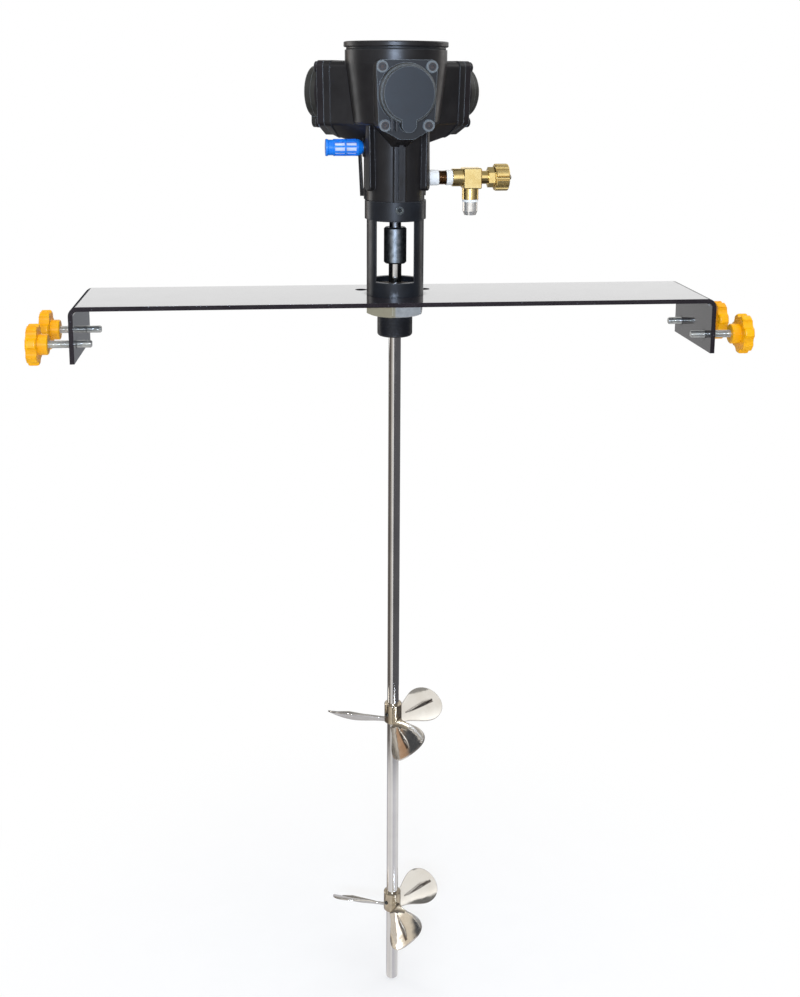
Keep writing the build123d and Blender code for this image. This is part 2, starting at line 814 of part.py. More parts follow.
def crankshaft():
    """Journals, two webs, the offset pin and the output end."""
    crank = rod_up(upper_journal_radius, cylinder_z + web_outer - 1, crank_top)
    crank += rod_up(upper_journal_radius + upper_shoulder, cylinder_z + web_outer - 1, cover_spigot_bottom)
    for side in (-1, 1):
        middle = cylinder_z + side * (web_half_gap + crank_web_thickness / 2)
        crank += Pos(0, 0, middle) * Cylinder(crank_web_radius, crank_web_thickness)
    pin = Pos(0, 0, cylinder_z) * Cylinder(crank_pin_radius, crank_pin_length + 2)
    crank += Rot(0, 0, motor_azimuth + 180) * Pos(crank_throw, 0, 0) * pin
    crank += rod_up(lower_journal_radius + lower_shoulder, cavity_bottom, cylinder_z - web_half_gap - 1)
    crank += rod_up(lower_journal_radius, lower_bearing_z, cavity_bottom + 1)
    crank += rod_up(valve_journal_radius, sleeve_bottom, lower_bearing_z + 1)
    crank += rod_up(output_journal_radius, motor_shaft_end, sleeve_bottom + 1)
    return crank


def rotary_valve():
    """Grooved sleeve on the crank that sends air to each cylinder in turn."""
    valve = tube_up(valve_journal_radius + seat_clearance, valve_radius - running_clearance,
                    valve_bottom, valve_bottom + valve_length)
    for height in (inlet_z, muffler_z):
        ring = tube_up(valve_radius - valve_groove_depth, valve_radius + 1,
                       height - valve_groove_width / 2, height + valve_groove_width / 2)
        valve -= ring
    return valve


def valve_sleeve():
    """Fixed sleeve with one port for the inlet, the exhaust and each cylinder."""
    sleeve = tube_up(valve_radius, sleeve_radius, sleeve_bottom, sleeve_top)
    ports = [(muffler_z, muffler_azimuth), (inlet_z, inlet_azimuth)]
    ports += [((muffler_z + inlet_z) / 2, azimuth) for azimuth in cylinder_azimuths]
    for height, azimuth in ports:
        sleeve -= radial_rod(nipple_bore_radius, 5, sleeve_radius + 1, height, azimuth)
    return sleeve


def output_bush():
    """Plain bush under the valve."""
    return tube_up(output_journal_radius + running_clearance, output_bush_radius,
                   output_bush_bottom, output_bush_bottom + output_bush_length)


def shaft_seal():
    """Lip seal round the output end."""
    return tube_up(output_journal_radius + running_clearance, seal_radius,
                   seal_bottom, seal_bottom + seal_length)


# --- Pistons

def piston(azimuth):
    """Hollow piston with ring grooves and a ball socket."""
    crown = piston_crown_reach
    skirt = crown - piston_length
    radius = bore_radius - running_clearance
    body = rod_up(radius, skirt, crown)
    body -= rod_up(radius - piston_wall, skirt - 1, crown - piston_crown_thickness)
    ball_centre = crown - rod_ball_below_crown
    socket_bottom = ball_centre - piston_socket_lip
    body += rod_up(piston_socket_radius, socket_bottom, crown - piston_crown_thickness + 1)
    body -= Pos(0, 0, ball_centre) * Sphere(rod_ball_radius + running_clearance)
    body -= rod_up(rod_radius + piston_throat_gap, skirt - 1, ball_centre)
    for groove in piston_ring_bottoms():
        body -= tube_up(bore_radius - piston_ring_depth, bore_radius + 1, groove, groove + piston_ring_width)
    return outward(body, cylinder_z, azimuth)


def piston_ring_bottoms():
    """Reach of each ring's inner side."""
    first = piston_crown_reach - piston_top_land - piston_ring_width
    return [first, first - piston_ring_spacing]


def piston_rings(azimuth):
    """Two rings in the piston's grooves."""
    inner = bore_radius - piston_ring_depth + running_clearance
    outer = bore_radius - seat_clearance
    rings = []
    for groove in piston_ring_bottoms():
        start = groove + running_clearance
        end = groove + piston_ring_width - running_clearance
        rings.append(outward(tube_up(inner, outer, start, end), cylinder_z, azimuth))
    return rings


def connecting_rod(azimuth):
    """Ball-ended rod that stays clear of the crank pin when the piston is furthest in."""
    ball_centre = piston_crown_reach - rod_ball_below_crown
    foot = 2 * crank_throw + crank_pin_radius + face_clearance
    rod = rod_up(rod_radius, foot + 1, ball_centre)
    rod += Pos(0, 0, ball_centre) * Sphere(rod_ball_radius)
    rod += rod_up(rod_foot_radius, foot, foot + rod_foot_length)
    return outward(rod, cylinder_z, azimuth)


# --- Coupling and shaft

def coupling():
    """Rigid sleeve that joins the two shafts."""
    sleeve = rod_up(coupling_radius, coupling_bottom, coupling_top)
    sleeve = chamfer(sleeve.edges().filter_by(GeomType.CIRCLE), coupling_chamfer)
    sleeve -= rod_up(output_journal_radius + seat_clearance, coupling_middle, coupling_top + 1)
    sleeve -= rod_up(shaft_head_radius + seat_clearance, coupling_bottom - 1, coupling_middle)
    for height in coupling_screw_heights():
        sleeve -= radial_rod(coupling_screw_radius + seat_clearance, 3, coupling_radius + 1,
                             height, coupling_screw_azimuth)
    return sleeve


def coupling_screw_heights():
    """One set screw for each shaft."""
    return [coupling_middle + coupling_length / 4, coupling_middle - coupling_length / 4]


def coupling_set_screws():
    """Headless screws that hold the two shafts."""
    screws = []
    for height, radius in zip(coupling_screw_heights(), (output_journal_radius, shaft_head_radius)):
        length = coupling_radius - radius - coupling_screw_sink
        screw = set_screw(coupling_screw_radius, length, coupling_screw_socket)
        screw = Pos(0, 0, radius + seat_clearance) * screw
        screws.append(outward(screw, height, coupling_screw_azimuth))
    return screws


def agitator_shaft():
    """Long shaft with a thicker head in the coupling."""
    shaft = rod_up(shaft_radius, -shaft_below_plate, shaft_head_bottom + 1)
    shaft = chamfer(shaft.edges().group_by(Axis.Z)[0], shaft_tip_chamfer)
    return shaft + rod_up(shaft_head_radius, shaft_head_bottom, agitator_top)


# --- Propellers, built with the hub's middle at the origin

def propeller_hub():
    """Round hub with a hole for its set screw."""
    hub = Cylinder(hub_radius, hub_length)
    hub = chamfer(hub.edges().filter_by(GeomType.CIRCLE), hub_chamfer)
    hub -= Cylinder(shaft_radius + seat_clearance, hub_length + 2)
    return hub - radial_rod(hub_screw_radius + seat_clearance, 3, hub_radius + 1, 0, hub_screw_azimuth)


def hub_set_screw():
    """Headless screw that holds the hub on the shaft."""
    length = hub_radius - shaft_radius - seat_clearance + hub_screw_stand_out
    screw = set_screw(hub_screw_radius, length, hub_screw_socket)
    return outward(Pos(0, 0, shaft_radius + 2 * seat_clearance) * screw, 0, hub_screw_azimuth)


def blade_section(reach, blade_reach):
    """Curved strip across the blade at one reach, pitched more steeply at the root."""
    share = (reach - hub_radius) / (blade_reach - hub_radius)
    pitch = blade_root_pitch + (blade_tip_pitch - blade_root_pitch) * share
    half = blade_width * 0.6
    sag = blade_camber_radius - math.sqrt(blade_camber_radius ** 2 - half ** 2)
    low_sag = sag + blade_thickness
    upper = ThreePointArc((-half, -sag), (0, 0), (half, -sag))
    lower = ThreePointArc((half, -low_sag), (0, -blade_thickness), (-half, -low_sag))
    sides = [Line((half, -sag), (half, -low_sag)), Line((-half, -low_sag), (-half, -sag))]
    strip = make_face([upper, sides[0], lower, sides[1]])
    return Plane.YZ.offset(reach) * Rot(0, 0, pitch) * strip


def blade_outline(blade_reach):
    """Plan of a blade: narrow neck, full rounded tip."""
    start = hub_radius - blade_root_depth
    half_root = blade_root_width / 2
    half = blade_width / 2
    widest = blade_reach - blade_tip_length
    neck = (start + blade_neck_length, half_root + blade_neck_spread)
    side = Spline((start, half_root), neck, (widest, half), (blade_reach, 0), tangents=[(1, 0), (0, -1)])
    return make_face([side, mirror(side, Plane.XZ), Line((start, half_root), (start, -half_root))])


def propeller_blade(blade_reach, blade_drop):
    """One pressed blade with its pointed stiffening ridge, along +X."""
    root = hub_radius - blade_root_depth
    past_tip = blade_reach + blade_overrun
    reaches = [root + (past_tip - root) * step / blade_loft_steps for step in range(blade_loft_steps + 1)]
    strip = loft([blade_section(reach, blade_reach) for reach in reaches])
    mean_pitch = (blade_root_pitch + blade_tip_pitch) / 2
    cutter = Rot(mean_pitch, 0, 0) * extrude(blade_outline(blade_reach), blade_width, both=True)
    blade = strip & cutter
    ridge_end = blade_reach - blade_ridge_end_gap
    widest = blade_ridge_start + (ridge_end - blade_ridge_start) * blade_ridge_widest
    ridge = turned((0, blade_ridge_start), (blade_ridge_point_radius, blade_ridge_start),
                   (blade_ridge_radius, widest), (blade_ridge_point_radius, ridge_end), (0, ridge_end))
    blade += Rot(0, 90, 0) * ridge
    blade = Pos(0, 0, -blade_drop) * blade
    return blade - Cylinder(hub_radius, 4 * hub_length)


def propeller(first_azimuth, hub_depth, blade_reach, blade_drop):
    """Hub, blades and screw of one propeller in place."""
    place = Pos(0, 0, -hub_depth)
    blade = place * propeller_blade(blade_reach, blade_drop)
    blades = [Rot(0, 0, first_azimuth + 360.0 / blade_count * step) * blade for step in range(blade_count)]
    return place * propeller_hub(), blades, place * hub_set_screw()


# --- Exhaust muffler, built along +Z from the shaft axis

def muffler_body():
    """Slotted plastic shell with its threaded end."""
    start = muffler_start
    end = start + muffler_length
    cap_start = end - muffler_cap_length
    rim_start = end - muffler_rim_length
    waist = muffler_radius - muffler_waist_depth
    shell = turned((0, start), (muffler_radius - muffler_shoulder_step, start),
                   (muffler_radius, start + muffler_shoulder_length),
                   (muffler_radius, cap_start), (waist, cap_start + muffler_waist_depth),
                   (waist, rim_start - muffler_waist_depth), (muffler_radius, rim_start),
                   (muffler_radius, end), (0, end))
    shell -= rod_up(muffler_core_radius + running_clearance, start + muffler_floor, rim_start)
    thread = rod_up(muffler_thread_radius, start - muffler_thread_length, start + 1)
    passage = rod_up(muffler_thread_radius - muffler_thread_wall, start - muffler_thread_length - 1,
                     start + muffler_floor + 1)
    body = shell + thread - passage
    pitch = muffler_slot_length + muffler_slot_gap
    first = cap_start - muffler_slot_columns * pitch + muffler_slot_gap / 2
    depth = 2 * (muffler_radius - muffler_core_radius) + 0.6
    for column in range(muffler_slot_columns):
        slot = Box(depth, muffler_slot_width, muffler_slot_length, align=UP)
        slot = Pos(muffler_radius, 0, first + column * pitch) * slot
        for row in range(muffler_slot_rows):
            body -= Rot(0, 0, 360.0 / muffler_slot_rows * row) * slot
    return outward(body, muffler_z, muffler_azimuth)


def muffler_core():
    """Porous element inside the shell."""
    start = muffler_start + muffler_floor + running_clearance
    end = muffler_start + muffler_length - muffler_rim_length - running_clearance
    core = tube_up(muffler_core_radius - 2, muffler_core_radius, start, end)
    return outward(core, muffler_z, muffler_azimuth)


# --- Air inlet, built along +Z from the shaft axis; -X of that frame points up

def inlet(shape):
    """Place an inlet piece that was built along +Z, its own +X side down."""
    return outward(shape, inlet_z, inlet_azimuth)


def inlet_nipple():
    """Threaded pipe nipple between the neck and the tee."""
    return inlet(tube_up(nipple_bore_radius, nipple_radius, nipple_start, nipple_reach))


def thread_tape():
    """Wrapped sealing tape at the three threaded joints."""
    outer = nipple_radius + tape_thickness
    places = ((inner_tape_start, inner_tape_length), (outer_tape_start, outer_tape_length))
    rings = [inlet(tube_up(nipple_radius + seat_clearance, outer, start, start + length))
             for start, length in places]
    ring = tube_up(fitting_radius + seat_clearance, fitting_radius + tape_thickness,
                   -tee_branch_drop - branch_tape_height, -tee_branch_drop)
    return rings + [at_branch(ring)]


def at_branch(shape):
    """Place a piece built along Z on the axis of the tee's lower branch."""
    reach = tee_block_start + tee_block_length / 2 - tee_branch_inset
    return Rot(0, 0, inlet_azimuth) * Pos(reach, 0, inlet_z) * shape


def inlet_tee():
    """Forged tee: round arm, square block and round branch that points down."""
    end = tee_block_start + tee_block_length
    middle = (tee_block_start + end) / 2
    arm = rod_up(tee_arm_radius, tee_start, tee_block_start + 1)
    height = tee_block_top + tee_block_bottom
    block = Box(height, 2 * tee_block_half_width, tee_block_length)
    block = chamfer(block.edges(), tee_block_chamfer)
    body = inlet(arm + Pos((tee_block_bottom - tee_block_top) / 2, 0, middle) * block)
    body += at_branch(rod_up(tee_branch_radius, -tee_branch_drop, -tee_block_bottom + 1))
    body -= inlet(rod_up(nipple_radius + seat_clearance, tee_start - 1, nipple_reach + running_clearance))
    body -= inlet(rod_up(nipple_bore_radius, nipple_reach - 1, end - bonnet_insert + 1))
    body -= inlet(rod_up(bonnet_insert_radius + seat_clearance, end - bonnet_insert, end + 1))
    socket_end = fitting_engagement - tee_branch_drop
    body -= at_branch(rod_up(fitting_radius + seat_clearance, -tee_branch_drop - 1, socket_end))
    return body - at_branch(rod_up(fitting_bore_radius, -tee_branch_drop, 0))


def inlet_fitting():
    """Male fitting for the air hose, its narrow end down."""
    bottom = -tee_branch_drop - branch_tape_height - fitting_length
    top = fitting_engagement - tee_branch_drop - fitting_end_gap
    body = turned((0, bottom), (fitting_tip_radius, bottom), (fitting_radius, bottom + fitting_taper_length),
                  (fitting_radius, top), (0, top))
    return at_branch(body - rod_up(fitting_bore_radius, bottom - 1, 5))


def valve_bonnet():
    """Round neck and hexagon that close the tee round the valve stem."""
    start = tee_block_start + tee_block_length
    hex_start = start + bonnet_arm_length
    end = hex_start + bonnet_hex_length
    body = rod_up(bonnet_insert_radius, start - bonnet_insert + bonnet_insert_gap, start)
    body += rod_up(bonnet_arm_radius, start, hex_start)
    body += Pos(0, 0, hex_start) * extrude(hexagon(bonnet_hex_across_flats), bonnet_hex_length)
    body -= rod_up(stem_radius + running_clearance, start - bonnet_insert, end + 1)
    return inlet(body - rod_up(packing_radius + seat_clearance, end - packing_length, end + 1))


def valve_packing():
    """Soft ring that seals the stem in the bonnet."""
    end = tee_block_start + tee_block_length + bonnet_arm_length + bonnet_hex_length
    return inlet(tube_up(stem_radius + running_clearance, packing_radius,
                         end - packing_length + running_clearance, end - running_clearance))


def valve_stem():
    """Needle-pointed stem that carries the knob."""
    needle = Pos(0, 0, stem_needle_reach) * Cone(needle_tip_radius, stem_radius, needle_length, align=UP)
    stem = needle + rod_up(stem_radius, stem_needle_reach + needle_length, stem_reach)
    return inlet(chamfer(stem.edges().group_by(Axis.Z)[-1], stem_end_chamfer))


def valve_knob():
    """Fluted hand knob of the needle valve."""
    bonnet_end = tee_block_start + tee_block_length + bonnet_arm_length + bonnet_hex_length
    start = bonnet_end + valve_knob_gap
    end = start + valve_knob_length
    knob = rod_up(valve_knob_radius, start, end)
    knob = fillet(knob.edges().filter_by(GeomType.CIRCLE), valve_knob_edge_round)
    for flute in range(valve_knob_flutes):
        cut = Pos(valve_knob_radius + valve_knob_flute_set_out, 0, 0) * rod_up(
            valve_knob_flute_radius, start - 1, end + 1)
        knob -= Rot(0, 0, 360.0 / valve_knob_flutes * flute) * cut
    return inlet(knob - rod_up(stem_radius + running_clearance, start - 1, end + 1))


def main():
    """Build every piece and write it."""
    os.makedirs("parts", exist_ok=True)
    write("mounting_plate", mounting_plate())
    write("lock_nut", lock_nut())
    write("yoke", yoke())
    write("collar_set_screws", *collar_set_screws())
    write("guide_bushes", *guide_bushes())
    for side, side_name in ((-1, "left"), (1, "right")):
        for depth, depth_name in ((-1, "front"), (1, "back")):
            write(f"clamp_stud_{side_name}_{depth_name}", place_screw(thumb_stud(), side, depth))
            write(f"clamp_knob_{side_name}_{depth_name}", place_screw(thumb_knob(), side, depth))
    write("motor_housing", motor_housing())
    write("head_gaskets", *[head_gasket(azimuth) for azimuth in cylinder_azimuths])
    write("head_screws", *[screw for azimuth in cylinder_azimuths for screw in head_screws(azimuth)])
    write("cylinder_liners", *[cylinder_liner(azimuth) for azimuth in cylinder_azimuths])
    for name, azimuth in zip(cylinder_names, cylinder_azimuths):
        write(f"cylinder_head_{name}", cylinder_head(azimuth))
        write(f"piston_{name}", piston(azimuth))
        write(f"piston_rings_{name}", *piston_rings(azimuth))
        write(f"connecting_rod_{name}", connecting_rod(azimuth))
    write("cover_seal", cover_seal())
    write("top_cover", top_cover())
    write("cover_screws", *cover_screws())
    upper = (upper_journal_radius, upper_bearing_radius, cover_spigot_bottom)
    lower = (lower_journal_radius, lower_bearing_radius, lower_bearing_z)
    write("upper_bearing_outer", *bearing_outer(*upper))
    write("upper_bearing_inner", bearing_inner(*upper))
    write("lower_bearing_outer", *bearing_outer(*lower))
    write("lower_bearing_inner", bearing_inner(*lower))
    write("crankshaft", crankshaft())
    write("rotary_valve", rotary_valve())
    write("valve_sleeve", valve_sleeve())
    write("output_bush", output_bush())
    write("shaft_seal", shaft_seal())
    write("coupling", coupling())
    write("coupling_set_screws", *coupling_set_screws())
    write("agitator_shaft", agitator_shaft())
    hub_screws = []
    upper_sizes = (upper_blade_azimuth, upper_hub_depth, upper_blade_reach, upper_blade_drop)
    lower_sizes = (lower_blade_azimuth, lower_hub_depth, lower_blade_reach, lower_blade_drop)
    for name, sizes in (("upper", upper_sizes), ("lower", lower_sizes)):
        hub, blades, screw = propeller(*sizes)
        write(f"{name}_propeller_hub", hub)
        write(f"{name}_propeller_blades", *blades)
        hub_screws.append(screw)
    write("hub_set_screws", *hub_screws)
    write("muffler_body", muffler_body())
    write("muffler_core", muffler_core())
    write("inlet_nipple", inlet_nipple())
    write("thread_tape", *thread_tape())
    write("inlet_tee", inlet_tee())
    write("inlet_fitting", inlet_fitting())
    write("valve_bonnet", valve_bonnet())
    write("valve_packing", valve_packing())
    write("valve_stem", valve_stem())
    write("valve_knob", valve_knob())


main()
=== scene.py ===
"""Looks of a tank agitator: an air motor on a clamp strap, with a long shaft and two propellers."""
import logging
import math
from dataclasses import dataclass
from enum import Enum
from typing import Any

import bmesh
import bpy
from mathutils import Matrix, Vector


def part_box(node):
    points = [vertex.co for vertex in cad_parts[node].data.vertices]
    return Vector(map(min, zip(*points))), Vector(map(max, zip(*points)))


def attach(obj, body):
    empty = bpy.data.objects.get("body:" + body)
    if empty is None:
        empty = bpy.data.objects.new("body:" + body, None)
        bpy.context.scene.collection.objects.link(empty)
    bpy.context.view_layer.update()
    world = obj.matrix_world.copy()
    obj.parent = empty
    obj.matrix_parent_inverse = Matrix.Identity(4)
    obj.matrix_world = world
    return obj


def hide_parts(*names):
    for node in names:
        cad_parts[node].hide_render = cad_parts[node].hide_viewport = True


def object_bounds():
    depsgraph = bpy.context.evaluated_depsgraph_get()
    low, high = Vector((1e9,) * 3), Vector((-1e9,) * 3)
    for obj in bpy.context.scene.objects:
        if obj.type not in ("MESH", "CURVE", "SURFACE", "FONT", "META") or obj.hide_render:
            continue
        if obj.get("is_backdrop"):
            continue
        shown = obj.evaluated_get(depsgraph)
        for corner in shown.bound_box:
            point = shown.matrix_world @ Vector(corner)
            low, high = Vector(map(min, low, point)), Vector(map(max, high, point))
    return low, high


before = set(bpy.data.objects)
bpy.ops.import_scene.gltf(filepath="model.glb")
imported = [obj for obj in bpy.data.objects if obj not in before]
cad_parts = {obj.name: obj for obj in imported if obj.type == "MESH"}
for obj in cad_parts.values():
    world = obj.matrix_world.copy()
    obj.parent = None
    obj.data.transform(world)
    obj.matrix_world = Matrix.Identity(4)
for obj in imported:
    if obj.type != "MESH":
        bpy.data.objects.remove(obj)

LOG = logging.getLogger("tank_agitator")
MM = 0.001
MATH = "ShaderNodeMath"
# Sockets of a Mix node by number: shared, then those of a colour mix, then those of a number mix.
MIX_FACTOR = 0
MIX_A, MIX_B, MIX_RESULT = 6, 7, 2
MIX_LOW, MIX_HIGH = 2, 3
# Points nearer than this are one point, and edges shorter than this are no edge, in metres.
WELD, NO_EDGE = 1e-6, 1e-7
UP = (0.0, 0.0, 1.0)
MOTOR_AZIMUTH = -87.6
HEAD_AZIMUTHS = {"front": MOTOR_AZIMUTH, "right": MOTOR_AZIMUTH + 120, "left": MOTOR_AZIMUTH + 240}
INLET_AZIMUTH = MOTOR_AZIMUTH + 90

Tree = bpy.types.NodeTree
Socket = bpy.types.NodeSocket
Feed = Socket | bpy.types.Node
Layer = tuple[Feed, str]
Height = tuple[Feed, float]
Shades = tuple[tuple[float, str], ...]


# --- Helpers

def linear(code: str) -> tuple[float, float, float, float]:
    """Turn an sRGB hex colour into linear light.

    Args:
        code: Colour such as "#1a6be0".

    Returns:
        Red, green, blue and an alpha of one.
    """
    parts = [int(code[i:i + 2], 16) / 255 for i in (1, 3, 5)]
    red, green, blue = [p / 12.92 if p <= 0.04045 else ((p + 0.055) / 1.055) ** 2.4 for p in parts]
    return red, green, blue, 1.0


def per_metre(size_mm: float) -> float:
    """Texture scale for a pattern whose cells are that many millimetres wide."""
    return 1.0 / (size_mm * MM)


def add(tree: Tree, kind: str, inputs: dict[str | int, Any] | None = None,
        **settings: Any) -> bpy.types.Node:
    """Add a node, set it up and wire its inputs.

    Args:
        tree: The node tree that gets the node.
        kind: The node's type name.
        inputs: Values, output sockets, or nodes whose first output is meant, by input name or number.
        settings: Values of the node's own properties.

    Returns:
        The new node.
    """
    node = tree.nodes.new(kind)
    for name, value in settings.items():
        setattr(node, name, value)
    for name, value in (inputs or {}).items():
        if isinstance(value, bpy.types.Node):
            value = value.outputs[0]
        if isinstance(value, Socket):
            tree.links.new(value, node.inputs[name])
        else:
            node.inputs[name].default_value = value
    return node


def empty_material(name: str) -> tuple[bpy.types.Material, Tree]:
    """Start a node material.

    Args:
        name: The material's name.

    Returns:
        The material, and its tree without nodes.
    """
    made = bpy.data.materials.new(name)
    made.use_nodes = True
    made.node_tree.nodes.clear()
    return made, made.node_tree


def clouds(tree: Tree, place: Socket, size_mm: float, span: tuple[float, float],
           ends: tuple[float, float] = (0.0, 1.0), detail: float = 4.0,
           roughness: float = 0.5) -> bpy.types.Node:
    """Soft patches of one size, stretched from one value to another.

    Args:
        tree: The material's node tree.
        place: Where on the object the patches are read.
        size_mm: Width of a patch.
        span: Part of the noise that is used, low and high.
        ends: Values that the two ends of that part become.
        detail: Octaves of finer patches.
        roughness: Strength of the finer patches.

    Returns:
        Node whose first output is the value.
    """
    noise = add(tree, "ShaderNodeTexNoise", {
        "Vector": place, "Scale": per_metre(size_mm), "Detail": detail, "Roughness": roughness})
    return add(tree, "ShaderNodeMapRange", {
        "Value": noise, "From Min": span[0], "From Max": span[1], "To Min": ends[0], "To Max": ends[1]})


def level_face(tree: Tree, reach: Socket, level_mm: float, slack_mm: float,
               heading: tuple[float, float, float], least: float) -> bpy.types.Node:
    """Pick the flat faces that lie at one level and look one way.

    Args:
        tree: The material's node tree.
        reach: Distance that is compared with the level.
        level_mm: The level.
        slack_mm: How far from the level a face may lie.
        heading: Direction that the faces look in.
        least: Least cosine between the face and that direction.

    Returns:
        Node whose first output is one on such faces and zero elsewhere.
    """
    facing = add(tree, "ShaderNodeVectorMath", {
        0: add(tree, "ShaderNodeNewGeometry").outputs["Normal"], 1: heading}, operation="DOT_PRODUCT")
    flat = add(tree, MATH, {0: facing.outputs["Value"], 1: least}, operation="GREATER_THAN")
    level = add(tree, MATH, {0: reach, 1: level_mm * MM, 2: slack_mm * MM}, operation="COMPARE")
    return add(tree, MATH, {0: level, 1: flat}, operation="MULTIPLY")


def link_object(obj: bpy.types.Object) -> bpy.types.Object:
    """Put an object into the scene and return it."""
    bpy.context.scene.collection.objects.link(obj)
    return obj


def dress(material: bpy.types.Material, *nodes: str) -> None:
    """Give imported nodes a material.

    Args:
        material: The finish to show.
        nodes: Names of the nodes.
    """
    for node in nodes:
        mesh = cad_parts[node].data
        mesh.materials.clear()
        mesh.materials.append(material)
        LOG.info("dressed %s with %s", node, material.name)


def settle(name: str, mesh: bpy.types.Mesh, body: str, slot: str, *nodes: str) -> None:
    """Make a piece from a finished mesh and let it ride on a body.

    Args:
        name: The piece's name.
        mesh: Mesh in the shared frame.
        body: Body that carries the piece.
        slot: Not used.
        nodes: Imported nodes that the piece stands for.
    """
    piece = link_object(bpy.data.objects.new(name, mesh))
    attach(piece, body)
    if nodes:
        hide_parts(*nodes)
    LOG.info("built %s: %d faces on %s", name, len(mesh.polygons), body)


def tidy_mesh(mesh: bpy.types.Mesh, sharp_deg: float) -> None:
    """Weld a mesh, turn its faces outwards and keep only its real edges sharp.

    Args:
        mesh: Mesh that is changed in place.
        sharp_deg: Angle above which an edge stays sharp.
    """
    work = bmesh.new()
    work.from_mesh(mesh)
    bmesh.ops.remove_doubles(work, verts=work.verts, dist=WELD)
    bmesh.ops.dissolve_degenerate(work, edges=work.edges, dist=NO_EDGE)
    bmesh.ops.recalc_face_normals(work, faces=work.faces)
    work.to_mesh(mesh)
    work.free()
    mesh.shade_smooth()
    mesh.set_sharp_from_angle(angle=math.radians(sharp_deg))


# --- Finishes

class Lay(Enum):
    """Way that the fine lines of a worked metal run, as a stretch along X, Y and Z."""

    AROUND_Z = (0.02, 0.02, 1.0)
    ALONG_Z = (1.0, 1.0, 0.008)
    AROUND_X = (1.0, 0.02, 0.02)
    ALONG_X = (0.02, 1.0, 1.0)
    NONE = (1.0, 1.0, 1.0)


